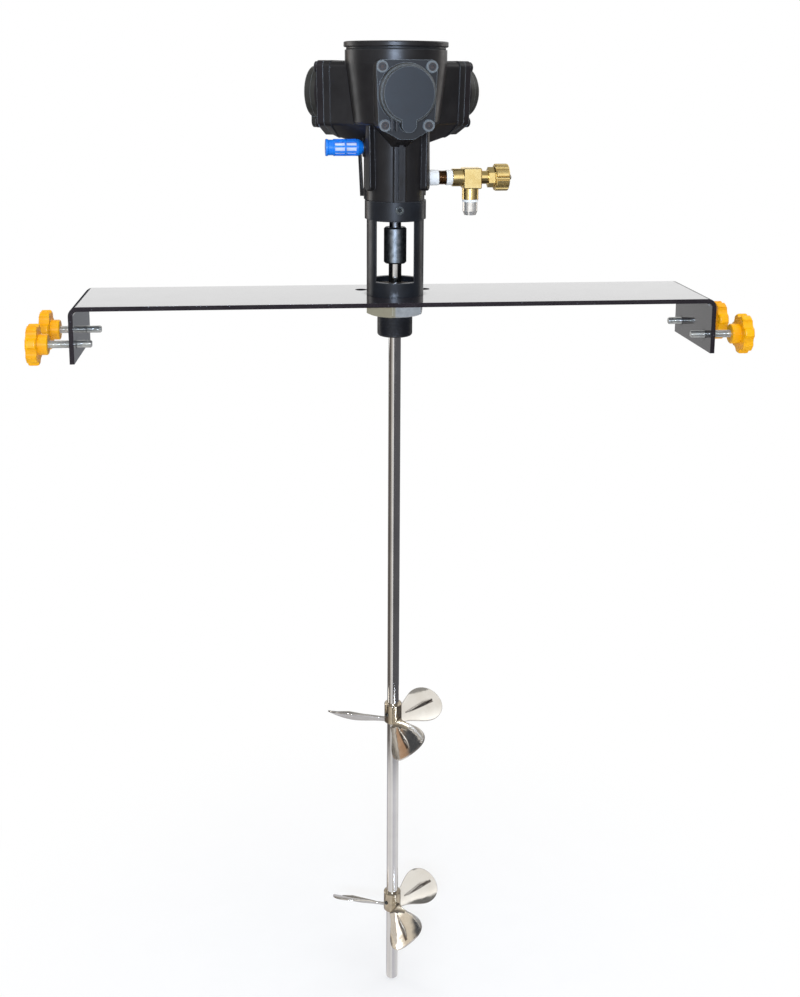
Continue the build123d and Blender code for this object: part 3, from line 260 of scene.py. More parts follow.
@dataclass(frozen=True)
class Finish:
    """What every finish shares: a colour with layers over it, and how it shines."""

    name: str
    colour: str
    tint: str
    roughness: float
    roughness_spread: float = 0.06
    metallic: float = 0.0
    patch_mm: float = 18.0
    bevel_mm: float = 0.35
    azimuth: float = 0.0
    specular: float = 0.5
    coat: float = 0.0
    coat_roughness: float = 0.05
    # Colour of an edge, as rubbed wear with a painted highlight (painted shade where it is dark), and how
    # much of it shows.
    edge: str = "#8a8d90"
    edge_wear_and_painted_light_share: float = 0.0
    # Colour painted into holes, mostly painted shade (the cap screws get dust there), and how near the next
    # wall is there. Zero leaves them as they are.
    crevice: str = "#08080a"
    crevice_mm: float = 0.0
    # Cosine of an edge's rounding where the edge colour starts and where it is full.
    edge_wear_and_painted_light_cosines: tuple[float, float] = (0.995, 0.86)
    # Share of open air at which a hole counts as shut, and at which it counts as open.
    closing: tuple[float, float] = (0.25, 0.9)

    def material(self) -> bpy.types.Material:
        """Build the node material, once.

        Returns:
            The material, ready to be put on a mesh.
        """
        if self.name in bpy.data.materials:
            return bpy.data.materials[self.name]
        made, tree = empty_material(self.name)
        shader = add(tree, "ShaderNodeBsdfPrincipled", {
            "Metallic": self.metallic, "Specular IOR Level": self.specular,
            "Coat Weight": self.coat, "Coat Roughness": self.coat_roughness})
        add(tree, "ShaderNodeOutputMaterial", {"Surface": shader})
        place = add(tree, "ShaderNodeMapping", {
            "Vector": add(tree, "ShaderNodeTexCoord").outputs["Object"],
            "Rotation": (0.0, 0.0, math.radians(-self.azimuth))}).outputs["Vector"]
        rounded = add(tree, "ShaderNodeBevel", {"Radius": self.bevel_mm * MM}, samples=4).outputs["Normal"]
        colour = linear(self.colour)
        for share, shade in self.layers(tree, place) + self.wear(tree, rounded, shader):
            colour = add(tree, "ShaderNodeMix", {
                MIX_FACTOR: share, MIX_A: colour, MIX_B: linear(shade)},
                data_type="RGBA").outputs[MIX_RESULT]
        tree.links.new(colour, shader.inputs["Base Color"])
        tree.links.new(self.sheen(tree, place).outputs[0], shader.inputs["Roughness"])
        normal = rounded
        for height, depth_mm in self.relief(tree, place):
            normal = add(tree, "ShaderNodeBump", {
                "Height": height, "Distance": depth_mm * MM, "Strength": 1.0, "Normal": normal}).outputs[0]
        tree.links.new(normal, shader.inputs["Normal"])
        return made

    def layers(self, tree: Tree, place: Socket) -> list[Layer]:
        """Colours over the main one, from the bottom up; here the tint alone, in soft patches.

        Args:
            tree: The material's node tree.
            place: Where on the object the pattern is read.

        Returns:
            Share and colour of each layer.
        """
        return [(clouds(tree, place, self.patch_mm, (0.35, 0.65), roughness=0.55), self.tint)]

    def wear(self, tree: Tree, rounded: Socket, shader: bpy.types.Node) -> list[Layer]:
        """Colours over the rest: edges as rubbed wear with a painted highlight, and holes in painted shade,
        dust in cap screws.

        Args:
            tree: The material's node tree.
            rounded: Normal of the rounded edges.
            shader: The surface shader, whose shine is closed off in the holes.

        Returns:
            Share and colour of each layer.
        """
        found: list[Layer] = []
        # Edge colour by the rounding: rubbed wear, with a painted highlight on light edges and painted shade
        # on dark ones.
        if self.edge_wear_and_painted_light_share:
            flat = add(tree, "ShaderNodeNewGeometry").outputs["Normal"]
            bend = add(tree, "ShaderNodeVectorMath", {0: flat, 1: rounded}, operation="DOT_PRODUCT")
            found.append((add(tree, "ShaderNodeMapRange", {
                "Value": bend.outputs["Value"], "From Min": self.edge_wear_and_painted_light_cosines[0],
                "From Max": self.edge_wear_and_painted_light_cosines[1], "To Min": 0.0, "To Max": self.edge_wear_and_painted_light_share}), self.edge))
        # Hole colour by the open air round it: painted shade, with the shine closed off too; dust in the cap
        # screws.
        if self.crevice_mm:
            open_air = add(tree, "ShaderNodeAmbientOcclusion", {
                "Distance": self.crevice_mm * MM}, samples=6).outputs["AO"]
            hole_shade_and_dust = add(tree, "ShaderNodeMapRange", {
                "Value": open_air, "From Min": self.closing[0], "From Max": self.closing[1],
                "To Min": 1.0, "To Max": 0.0})
            for socket, level in (("Specular IOR Level", self.specular), ("Coat Weight", self.coat)):
                shine = add(tree, MATH, {0: hole_shade_and_dust, 1: -level, 2: level}, operation="MULTIPLY_ADD")
                tree.links.new(shine.outputs[0], shader.inputs[socket])
            found.append((hole_shade_and_dust, self.crevice))
        return found

    def sheen(self, tree: Tree, place: Socket) -> bpy.types.Node:
        """Roughness that varies in small patches, as handling leaves it.

        Args:
            tree: The material's node tree.
            place: Where on the object the pattern is read.

        Returns:
            Node whose first output is the roughness.
        """
        dull, spread = self.roughness, self.roughness_spread
        return clouds(tree, place, self.patch_mm * 0.4, (0.3, 0.7), (dull - spread, dull + spread), 3.0)

    def relief(self, tree: Tree, place: Socket) -> list[Height]:
        """Patterns that stand out, each with its depth in millimetres; a plain finish has none."""
        return []


@dataclass(frozen=True)
class LinedMetal(Finish):
    """Metal with the fine lines that turning, drawing or brushing leaves."""

    metallic: float = 1.0
    bevel_mm: float = 0.3
    lay: Lay = Lay.AROUND_Z
    # Real tool marks lie about 0.1 mm apart. That is too fine to show, so they are drawn coarser.
    line_mm: float = 0.5
    line_depth_mm: float = 0.006

    def relief(self, tree: Tree, place: Socket) -> list[Height]:
        """Fine lines that run one way.

        Args:
            tree: The material's node tree.
            place: Where on the object the pattern is read.

        Returns:
            Pattern and depth of each relief.
        """
        stretched = add(tree, "ShaderNodeMapping", {"Vector": place, "Scale": self.lay.value})
        lines = add(tree, "ShaderNodeTexNoise", {
            "Vector": stretched, "Scale": per_metre(self.line_mm), "Detail": 2.0})
        return [(lines, self.line_depth_mm)]


@dataclass(frozen=True)
class ThreadedTail(LinedMetal):
    """Turned dark steel with a fine thread at its lower end, and dust with a painted light on its window
    sill.
    """

    thread_top_mm: float = -16.3
    thread_pitch_mm: float = 1.5
    thread_depth_mm: float = 0.6
    # The window's sill: its level, how far a face may lie from it, and how level it must be.
    sill_mm: float = 13.5
    sill_slack_mm: float = 0.4
    sill_cosine: float = 0.7
    # Grey-brown on the sill: dust, and a painted light where the ledge looks lit.
    dust: str = "#8a8074"
    sill_dust_and_light_patch_mm: float = 3.0

    def layers(self, tree: Tree, place: Socket) -> list[Layer]:
        """Oxide, greyed on the window's level sill by dust and a painted light.

        Args:
            tree: The material's node tree.
            place: Where on the object the pattern is read.

        Returns:
            Share and colour of each layer.
        """
        height = add(tree, "ShaderNodeSeparateXYZ", {"Vector": place}).outputs["Z"]
        sill = level_face(tree, height, self.sill_mm, self.sill_slack_mm, UP, self.sill_cosine)
        lying = clouds(tree, place, self.sill_dust_and_light_patch_mm, (0.35, 0.65), (0.35, 1.0))
        share = add(tree, MATH, {0: sill, 1: lying}, operation="MULTIPLY")
        return super().layers(tree, place) + [(share, self.dust)]

    def relief(self, tree: Tree, place: Socket) -> list[Height]:
        """Turned lines, with a helical groove below the nut.

        Args:
            tree: The material's node tree.
            place: Where on the object the pattern is read.

        Returns:
            Pattern and depth of each relief.
        """
        axes = add(tree, "ShaderNodeSeparateXYZ", {"Vector": place}).outputs
        around = add(tree, MATH, {0: axes["Y"], 1: axes["X"]}, operation="ARCTAN2")
        share = add(tree, MATH, {0: around, 1: math.tau}, operation="DIVIDE")
        rise = add(tree, MATH, {0: axes["Z"], 1: self.thread_pitch_mm * MM}, operation="DIVIDE")
        turns = add(tree, MATH, {0: rise, 1: share}, operation="SUBTRACT")
        ridge = add(tree, MATH, {0: turns, 1: 0.5}, operation="PINGPONG")
        below = add(tree, MATH, {0: axes["Z"], 1: self.thread_top_mm * MM}, operation="LESS_THAN")
        height = add(tree, MATH, {0: ridge, 1: below}, operation="MULTIPLY")
        return super().relief(tree, place) + [(height, self.thread_depth_mm)]


@dataclass(frozen=True)
class GrainedCoat(Finish):
    """Paint, anodising or moulded skin with a fine even grain."""

    # A real cast or moulded skin has a grain of about 0.2 mm. That is drawn coarser, so that it shows.
    grain_mm: float = 0.8
    grain_depth_mm: float = 0.02

    def relief(self, tree: Tree, place: Socket) -> list[Height]:
        """Even grain on the whole surface.

        Args:
            tree: The material's node tree.
            place: Where on the object the pattern is read.

        Returns:
            Pattern and depth of each relief.
        """
        grain = add(tree, "ShaderNodeTexNoise", {
            "Vector": place, "Scale": per_metre(self.grain_mm), "Detail": 3.0, "Roughness": 0.6})
        return [(grain, self.grain_depth_mm)]


@dataclass(frozen=True)
class FacedCasting(GrainedCoat):
    """Coated casting whose outward faces were machined and show in tones of their own."""

    # Reach of each machined face and its colour: flange, screw seats, boss.
    faces: Shades = ((73.8, "#0f1113"), (76.4, "#6c7172"), (89.8, "#20262c"))
    face_slack_mm: float = 0.2
    face_cosine: float = 0.97
    face_patch_mm: float = 12.0
    # Turned wall between flange and boss face, lighter all round as a painted highlight.
    wall: str = "#33322e"
    highlight_wall_start_mm: float = 77.0
    highlight_wall_end_mm: float = 89.4

    def layers(self, tree: Tree, place: Socket) -> list[Layer]:
        """Casting colour, with the wall in a painted highlight and each machined face in its own.

        Args:
            tree: The material's node tree.
            place: Where on the object the pattern is read, its X along the cylinder.

        Returns:
            Share and colour of each layer.
        """
        reach = add(tree, "ShaderNodeSeparateXYZ", {"Vector": place}).outputs["X"]
        middle = (self.highlight_wall_start_mm + self.highlight_wall_end_mm) / 2
        half = self.highlight_wall_end_mm - middle
        # Painted highlight on the turned wall.
        beside = add(tree, MATH, {0: reach, 1: middle * MM, 2: half * MM}, operation="COMPARE")
        found = super().layers(tree, place) + [(beside, self.wall)]
        turn = math.radians(self.azimuth)
        heading = (math.cos(turn), math.sin(turn), 0.0)
        clouded = clouds(tree, place, self.face_patch_mm, (0.3, 0.7), (0.7, 1.0), 5.0)
        for level_mm, shade in self.faces:
            here = level_face(tree, reach, level_mm, self.face_slack_mm, heading, self.face_cosine)
            found.append((add(tree, MATH, {0: here, 1: clouded}, operation="MULTIPLY"), shade))
        return found


@dataclass(frozen=True)
class DustyGloss(GrainedCoat):
    """Stoved gloss paint with a little dust caught in it."""

    dust: str = "#5a5d62"
    # Specks are really about 0.2 mm wide and sparse. They are drawn wider, so that they show.
    speck_spacing_mm: float = 5.2
    # Shares of that spacing: where a speck begins to thin out, and where it ends.
    speck_rim: tuple[float, float] = (0.06, 0.12)
    speck_share: float = 0.8

    def layers(self, tree: Tree, place: Socket) -> list[Layer]:
        """Paint colour with sparse dust specks.

        Args:
            tree: The material's node tree.
            place: Where on the object the pattern is read.

        Returns:
            Share and colour of each layer.
        """
        specks = add(tree, "ShaderNodeTexVoronoi", {
            "Vector": place, "Scale": per_metre(self.speck_spacing_mm)})
        near = add(tree, "ShaderNodeMapRange", {
            "Value": specks, "From Min": self.speck_rim[0], "From Max": self.speck_rim[1],
            "To Min": self.speck_share, "To Max": 0.0})
        return super().layers(tree, place) + [(near, self.dust)]


@dataclass(frozen=True)
class PlatedMetal(LinedMetal):
    """Plated metal with blotches and scattered scratches."""

    scratch: str = "#e8e8e4"
    # Real scratches are about 0.05 mm wide. They are drawn wider, so that they show.
    scratch_mm: float = 0.35
    scratch_turn: tuple[float, float, float] = (0.5, 0.35, 0.9)
    scratch_stretch: tuple[float, float, float] = (1.0, 0.06, 1.0)
    scratch_share: float = 0.6

    def layers(self, tree: Tree, place: Socket) -> list[Layer]:
        """Plating colour crossed by thin bright scratches.

        Args:
            tree: The material's node tree.
            place: Where on the object the pattern is read.

        Returns:
            Share and colour of each layer.
        """
        slanted = add(tree, "ShaderNodeMapping", {
            "Vector": place, "Rotation": self.scratch_turn, "Scale": self.scratch_stretch}).outputs[0]
        marks = clouds(tree, slanted, self.scratch_mm, (0.62, 0.72), (0.0, self.scratch_share), 2.0)
        return super().layers(tree, place) + [(marks, self.scratch)]


@dataclass(frozen=True)
class TwoTonePlating(PlatedMetal):
    """Plating whose passivation film turned olive on one side."""

    film: str = "#cdc4a2"
    film_share: float = 0.85
    # Where the two sides meet, and half the width over which they blend.
    split_mm: float = -2.5
    blend_mm: float = 1.0

    def layers(self, tree: Tree, place: Socket) -> list[Layer]:
        """Bright plating on one side, the olive film on the other.

        Args:
            tree: The material's node tree.
            place: Where on the object the pattern is read.

        Returns:
            Share and colour of each layer.
        """
        axes = add(tree, "ShaderNodeSeparateXYZ", {"Vector": place}).outputs
        side = add(tree, "ShaderNodeMapRange", {
            "Value": axes["X"], "From Min": (self.split_mm - self.blend_mm) * MM,
            "From Max": (self.split_mm + self.blend_mm) * MM, "To Min": self.film_share, "To Max": 0.0})
        return super().layers(tree, place) + [(side, self.film)]


@dataclass(frozen=True)
class BuffedSheet(LinedMetal):
    """Mirror-buffed propeller sheet that waves slightly, with a painted shade line beside each ridge."""

    wave_mm: float = 14.0
    wave_depth_mm: float = 0.12
    # Painted shade line beside each blade's pressed ridge, which widens outwards.
    scale: str = "#3a2d25"
    ridge_shade_start_mm: float = 24.0
    ridge_shade_end_mm: float = 62.0
    ridge_shade_start_width_mm: float = 0.2
    ridge_shade_width_mm: float = 2.6
    # Distance inside the line's rim at which it starts to show, and at which it is full.
    ridge_shade_rim_mm: tuple[float, float] = (-0.2, 0.4)
    ridge_shade_strength: float = 0.85
    first_blade: float = -80.0
    blades: int = 3

    def layers(self, tree: Tree, place: Socket) -> list[Layer]:
        """Bright sheet, with the painted shade line beside each ridge.

        Args:
            tree: The material's node tree.
            place: Where on the object the pattern is read.

        Returns:
            Share and colour of each layer.
        """
        axes = add(tree, "ShaderNodeSeparateXYZ", {"Vector": place}).outputs
        around = add(tree, MATH, {0: axes["Y"], 1: axes["X"]}, operation="ARCTAN2")
        turned = add(tree, MATH, {0: around, 1: math.radians(self.first_blade)}, operation="SUBTRACT")
        sector = math.pi / self.blades
        off = add(tree, MATH, {0: turned, 1: sector, 2: -sector}, operation="WRAP")
        flat = add(tree, "ShaderNodeVectorMath", {0: place, 1: (1.0, 1.0, 0.0)}, operation="MULTIPLY")
        reach = add(tree, "ShaderNodeVectorMath", {0: flat}, operation="LENGTH").outputs["Value"]
        widest = 0.5 * self.ridge_shade_width_mm * MM
        aside = add(tree, MATH, {0: off, 1: reach, 2: widest}, operation="MULTIPLY_ADD")
        away = add(tree, MATH, {0: aside}, operation="ABSOLUTE")
        half = add(tree, "ShaderNodeMapRange", {
            "Value": reach, "From Min": self.ridge_shade_start_mm * MM, "From Max": self.ridge_shade_end_mm * MM,
            "To Min": 0.5 * self.ridge_shade_start_width_mm * MM, "To Max": widest})
        inside = add(tree, MATH, {0: half, 1: away}, operation="SUBTRACT")
        soft = add(tree, "ShaderNodeMapRange", {
            "Value": inside, "From Min": self.ridge_shade_rim_mm[0] * MM,
            "From Max": self.ridge_shade_rim_mm[1] * MM, "To Min": 0.0, "To Max": self.ridge_shade_strength})
        middle = (self.ridge_shade_start_mm + self.ridge_shade_end_mm) / 2
        along = add(tree, MATH, {
            0: reach, 1: middle * MM, 2: (self.ridge_shade_end_mm - middle) * MM}, operation="COMPARE")
        share = add(tree, MATH, {0: soft, 1: along}, operation="MULTIPLY")
        return super().layers(tree, place) + [(share, self.scale)]

    def relief(self, tree: Tree, place: Socket) -> list[Height]:
        """Buffing lines over a slow wave.

        Args:
            tree: The material's node tree.
            place: Where on the object the pattern is read.

        Returns:
            Pattern and depth of each relief.
        """
        wave = add(tree, "ShaderNodeTexNoise", {
            "Vector": place, "Scale": per_metre(self.wave_mm), "Detail": 1.0})
        return [(wave, self.wave_depth_mm)] + super().relief(tree, place)


@dataclass(frozen=True)
class PorousFill(Finish):
    """Sintered or felted filter stuff made of small grains."""

    # Real grains are about 0.2 mm wide. They are drawn coarser, so that they show.
    grain_mm: float = 0.6
    grain_depth_mm: float = 0.25

    def relief(self, tree: Tree, place: Socket) -> list[Height]:
        """Round grains packed side by side.

        Args:
            tree: The material's node tree.
            place: Where on the object the pattern is read.

        Returns:
            Pattern and depth of each relief.
        """
        grains = add(tree, "ShaderNodeTexVoronoi", {"Vector": place, "Scale": per_metre(self.grain_mm)})
        return [(grains, -self.grain_depth_mm)]


@dataclass(frozen=True)
class Finishes:
    """All finishes of the agitator."""

    # Cold-rolled steel strap, stoved gloss black: near-black with a wet mirror at low angles; holes in
    # painted shade.
    strap: Finish = DustyGloss("steel_stoved_gloss_black", "#1c161b", "#211b20", 0.11, 0.03,
                               coat=1.0, coat_roughness=0.03, crevice_mm=6.0, grain_mm=2.2,
                               grain_depth_mm=0.015, patch_mm=60.0, bevel_mm=0.5)
    # Zinc-plated steel, yellow-passivated in part: olive to silver, with wrench scratches.
    # Its white edges are rubbed wear and a painted highlight.
    nut: Finish = TwoTonePlating("steel_zinc_plated_nut", "#cfd3d2", "#eceeec", 0.40, 0.08,
                                 metallic=0.7, patch_mm=9.0, lay=Lay.NONE, line_mm=1.4,
                                 line_depth_mm=0.02, scratch="#ffffff", scratch_mm=0.9,
                                 edge="#f4f4f0", edge_wear_and_painted_light_share=0.6)
    # Turned steel, black oxide: soft dark sheen, faint turning rings, a cut thread, dust and painted light on
    # the sill.
    # Its lighter edges are rubbed wear and a painted highlight.
    yoke: Finish = ThreadedTail("steel_turned_black_oxide", "#15161a", "#1d2025", 0.34, 0.05,
                                metallic=0.0, specular=0.36, line_mm=0.7, line_depth_mm=0.012,
                                patch_mm=30.0, bevel_mm=1.0, edge="#5c5f64", edge_wear_and_painted_light_share=0.4)
    # Alloy steel, black oxide: dark oily set screws, rims rubbed bright with a painted highlight, sockets in
    # painted shade.
    screws: Finish = LinedMetal("steel_black_oxide_screw", "#45484a", "#555753", 0.34, 0.06,
                                lay=Lay.NONE, line_mm=0.5, patch_mm=3.0, bevel_mm=0.5,
                                edge="#c4c7c6", edge_wear_and_painted_light_share=0.9, crevice_mm=3.0)
    # The same steel as a cap screw: blacker, with grey dust left in its socket.
    cap_screws: Finish = LinedMetal("steel_black_oxide_cap_screw", "#141213", "#1b1817", 0.46, 0.06,
                                    metallic=0.0, lay=Lay.NONE, line_mm=0.5, patch_mm=3.0, bevel_mm=0.3,
                                    crevice="#8a7468", crevice_mm=1.6)
    # Die-cast aluminium, satin black coat: fine orange peel, slightly brown where it is thin.
    # Its lighter edges are rubbed wear and a painted highlight.
    casting: Finish = GrainedCoat("aluminium_cast_satin_black", "#181617", "#211f1f", 0.34, 0.06,
                                  specular=0.38, grain_mm=0.9, grain_depth_mm=0.03, patch_mm=28.0,
                                  bevel_mm=0.8, edge="#6d7073", edge_wear_and_painted_light_share=0.35)
    # Zinc-plated steel stud: bright, slightly blue.
    stud: Finish = LinedMetal("steel_zinc_plated_stud", "#e4e4de", "#d2d3d0", 0.20, 0.05,
                              metallic=0.85, lay=Lay.AROUND_X, line_mm=0.6, patch_mm=6.0)
    # ABS, moulded in orange: smooth, warm, with a faint moulding haze.
    knob: Finish = GrainedCoat("abs_moulded_orange", "#f5b000", "#eea200", 0.28, 0.05,
                               specular=0.35, grain_mm=1.1, grain_depth_mm=0.012, patch_mm=14.0,
                               bevel_mm=0.8)
    # Polished stainless bar: long fine draw lines.
    shaft: Finish = LinedMetal("stainless_drawn_bar", "#dcdad8", "#cfcdcb", 0.13, 0.04,
                               lay=Lay.ALONG_Z, line_mm=0.5, line_depth_mm=0.003, patch_mm=60.0)
    # Stainless sheet, pressed and mirror-buffed: bright, with soft waves, and painted brown shade at rims and
    # ridges.
    blade: Finish = BuffedSheet("stainless_buffed_sheet", "#e6e2da", "#dcd6cc", 0.08, 0.03,
                                metallic=0.93, lay=Lay.NONE, line_mm=0.6, line_depth_mm=0.0015,
                                patch_mm=30.0, bevel_mm=0.8, edge="#5f4638", edge_wear_and_painted_light_share=0.8,
                                crevice="#4a372e", crevice_mm=2.5)
    # Stainless hub, turned: warmer and a little duller than the blades.
    # Its light edges are rubbed wear and a painted highlight.
    hub: Finish = LinedMetal("stainless_turned_hub", "#bfb29b", "#a89c8b", 0.20, 0.05,
                             line_mm=0.4, line_depth_mm=0.006, patch_mm=8.0, bevel_mm=0.6,
                             edge="#e6dcc4", edge_wear_and_painted_light_share=0.5)
    # Carbon steel coupling, turned and oiled: dark grey with mottled wear.
    coupling: Finish = PlatedMetal("steel_turned_oiled", "#94999c", "#62676a", 0.40, 0.07,
                                   scratch="#d2d8da", line_mm=0.5, line_depth_mm=0.01, patch_mm=5.0)
    # Nylon, moulded in blue: glossy and even, with a faint moulding haze.
    muffler: Finish = GrainedCoat("nylon_moulded_blue", "#1486f0", "#0f78e2", 0.26, 0.05,
                                  grain_mm=0.8, grain_depth_mm=0.01, patch_mm=9.0, bevel_mm=0.4)
    # Sintered white polyethylene: matt, grainy.
    felt: Finish = PorousFill("polyethylene_sintered_white", "#f2f3f4", "#e6e8ea", 0.85)
    # PTFE tape, wrapped: matt white, with the pull lines of the film.
    tape: Finish = LinedMetal("ptfe_tape_wrapped", "#f4f4f1", "#e9e9e4", 0.62, 0.06, metallic=0.0,
                              lay=Lay.AROUND_X, azimuth=INLET_AZIMUTH, line_mm=0.6,
                              line_depth_mm=0.05, patch_mm=3.0)
    # Free-cutting brass, milled block: clear yellow with a fine milled lay.
    brass: Finish = LinedMetal("brass_milled", "#fae09c", "#f0d28a", 0.27, 0.05,
                               lay=Lay.ALONG_X, azimuth=INLET_AZIMUTH, line_mm=0.5,
                               line_depth_mm=0.003, patch_mm=7.0)
    # Free-cutting brass, turned: as the block, its lines round the axis.
    brass_turned: Finish = LinedMetal("brass_turned", "#fee6a0", "#f4d488", 0.16, 0.05,
                                      lay=Lay.AROUND_X, azimuth=INLET_AZIMUTH, line_mm=0.5,
                                      line_depth_mm=0.006, patch_mm=6.0)
    # Die-cast brass hand wheel: duller gold, soft edges in a painted highlight, hollows in painted shade.
    brass_cast: Finish = LinedMetal("brass_cast_wheel", "#ffe29a", "#f2d080", 0.26, 0.06, metallic=0.9,
                                    lay=Lay.NONE, line_mm=0.8, patch_mm=5.0, bevel_mm=0.6,
                                    edge="#fff0c0", edge_wear_and_painted_light_share=0.5, crevice_mm=4.0)
    # Brass pipe nipple, tarnished: browner than the tee.
    nipple: Finish = LinedMetal("brass_tarnished_nipple", "#8f6c48", "#6f5038", 0.24, 0.06,
                                lay=Lay.AROUND_X, azimuth=INLET_AZIMUTH, line_mm=0.5, patch_mm=4.0)
    # Nickel-plated brass: silvery with a warm cast.
    nickel: Finish = LinedMetal("brass_nickel_plated", "#f6f2ea", "#e8e2d8", 0.12, 0.04,
                                metallic=0.7, line_mm=0.5, line_depth_mm=0.004, patch_mm=5.0)
    # Nitrile rubber: matt black.
    rubber: Finish = GrainedCoat("nitrile_moulded_black", "#141414", "#1c1b1a", 0.72, 0.05,
                                 grain_mm=0.5, grain_depth_mm=0.02, patch_mm=6.0)
    # Sintered bronze bush: dull gold, grainy.
    bronze: Finish = PlatedMetal("bronze_sintered_bush", "#9c7740", "#84642f", 0.42, 0.06,
                                 scratch="#b8945a", patch_mm=4.0)
    # Honed steel liner: crossed fine lines.
    liner: Finish = PlatedMetal("steel_honed_liner", "#8f9092", "#7c7d80", 0.28, 0.06,
                                scratch="#b4b5b8", patch_mm=6.0)
    # Cast and machined piston alloy: pale matt metal.
    piston: Finish = LinedMetal("aluminium_machined_piston", "#b9babc", "#a9aaad", 0.36, 0.06,
                                lay=Lay.NONE, line_mm=0.8, patch_mm=8.0)
    # Grey cast iron ring: dark and slightly rough.
    iron: Finish = LinedMetal("cast_iron_ring", "#4a4a4c", "#3d3d3f", 0.45, 0.06,
                              lay=Lay.NONE, line_mm=0.6, patch_mm=4.0)
    # Forged and ground steel: mid grey with grinding lines.
    forged: Finish = LinedMetal("steel_forged_ground", "#7d7e80", "#6b6c6e", 0.32, 0.08,
                                line_mm=0.7, line_depth_mm=0.008, patch_mm=10.0)
    # Hardened bearing steel, ground: clean and bright.
    bearing: Finish = LinedMetal("steel_ground_bearing", "#b4b5b8", "#a6a7aa", 0.16, 0.04,
                                 line_mm=0.4, line_depth_mm=0.003, patch_mm=8.0)
    # Bright turned valve stem.
    stem: Finish = LinedMetal("steel_turned_stem", "#a9a6a0", "#97948e", 0.22, 0.05,
                              lay=Lay.AROUND_X, azimuth=INLET_AZIMUTH, line_mm=0.5, patch_mm=4.0)

    def head(self, azimuth: float) -> Finish:
        """Finish of one cylinder head, whose boss face was machined.

        Args:
            azimuth: Direction that the head points in, in degrees.

        Returns:
            The finish.
        """
        # Die-cast aluminium, satin black, with a machined and anodised boss face: blue-grey there.
        # Its bright edges are a painted highlight, with some rubbed wear.
        return FacedCasting(f"aluminium_cast_head_{azimuth:.0f}", "#1b1719", "#231f21", 0.36, 0.06,
                            specular=0.27, coat=0.1, coat_roughness=0.2, grain_mm=0.9,
                            grain_depth_mm=0.016, patch_mm=28.0, bevel_mm=0.8,
                            edge="#a9b4ba", edge_wear_and_painted_light_share=0.7, azimuth=azimuth)


# --- Shapes that follow a rule, as Geometry Nodes

@dataclass
class RuleShape:
    """A Geometry Nodes tree with named inputs that is baked to a plain mesh."""

    title: str
    values: dict[str, float]
    sharp_deg: float = 35.0

    def shape(self, tree: Tree, given: bpy.types.Node) -> Socket:
        """Build the shape's own nodes and return its geometry socket."""
        raise NotImplementedError

    def grid(self, tree: Tree, rows: Feed, columns: int) -> tuple[Socket, Feed, Feed]:
        """Start from a unit grid, and give its two shares as fields from 0 to 1.

        Args:
            tree: The tree being built.
            rows: Number of points along the first share.
            columns: Number of points along the second share.

        Returns:
            The grid's geometry, and the sources of both shares.
        """
        sheet = add(tree, "GeometryNodeMeshGrid", {
            "Size X": 1.0, "Size Y": 1.0, "Vertices X": rows, "Vertices Y": columns}).outputs["Mesh"]
        spot = add(tree, "ShaderNodeSeparateXYZ", {"Vector": add(tree, "GeometryNodeInputPosition")})
        first, second = [add(tree, MATH, {0: spot.outputs[axis], 1: 0.5}, operation="ADD")
                         for axis in ("X", "Y")]
        return sheet, first, second

    def wrapped(self, tree: Tree, sheet: Socket, reach: Feed, turns: Feed, height: Feed) -> Socket:
        """Bend a grid round the Z axis.

        Args:
            tree: The tree being built.
            sheet: The grid.
            reach: Each point's distance from the axis.
            turns: Full turns that each point has gone round it.
            height: Each point's height.

        Returns:
            Geometry socket.
        """
        unturned = add(tree, "ShaderNodeCombineXYZ", {"X": reach, "Z": height})
        angle = add(tree, MATH, {0: turns, 1: math.tau}, operation="MULTIPLY")
        spot = add(tree, "ShaderNodeVectorRotate", {
            "Vector": unturned, "Angle": angle}, rotation_type="Z_AXIS")
        return add(tree, "GeometryNodeSetPosition", {"Geometry": sheet, "Position": spot}).outputs[0]

    def bake(self, material: bpy.types.Material, place: Matrix) -> bpy.types.Mesh:
        """Build the tree, run it once and keep the result as a mesh.

        Args:
            material: Material of the whole shape.
            place: Where the shape goes in the shared frame.

        Returns:
            Plain mesh in the shared frame.
        """
        tree = bpy.data.node_groups.new(self.title, "GeometryNodeTree")
        sockets = {name: tree.interface.new_socket(name, in_out="INPUT", socket_type="NodeSocketFloat")
                   for name in self.values}
        stuff = tree.interface.new_socket("Material", in_out="INPUT", socket_type="NodeSocketMaterial")
        tree.interface.new_socket("Geometry", in_out="OUTPUT", socket_type="NodeSocketGeometry")
        given = add(tree, "NodeGroupInput")
        whole = add(tree, "GeometryNodeRealizeInstances", {0: self.shape(tree, given)})
        painted = add(tree, "GeometryNodeSetMaterial", {
            "Geometry": whole, "Material": given.outputs["Material"]})
        add(tree, "NodeGroupOutput", {"Geometry": painted})
        holder = link_object(bpy.data.objects.new(self.title, bpy.data.meshes.new(self.title)))
        modifier = holder.modifiers.new(self.title, "NODES")
        modifier.node_group = tree
        for name, socket in sockets.items():
            modifier[socket.identifier] = float(self.values[name])
        modifier[stuff.identifier] = material
        depsgraph = bpy.context.evaluated_depsgraph_get()
        mesh = bpy.data.meshes.new_from_object(holder.evaluated_get(depsgraph))
        holder.modifiers.clear()
        bpy.data.objects.remove(holder)
        mesh.transform(place)
        tidy_mesh(mesh, self.sharp_deg)
        return mesh


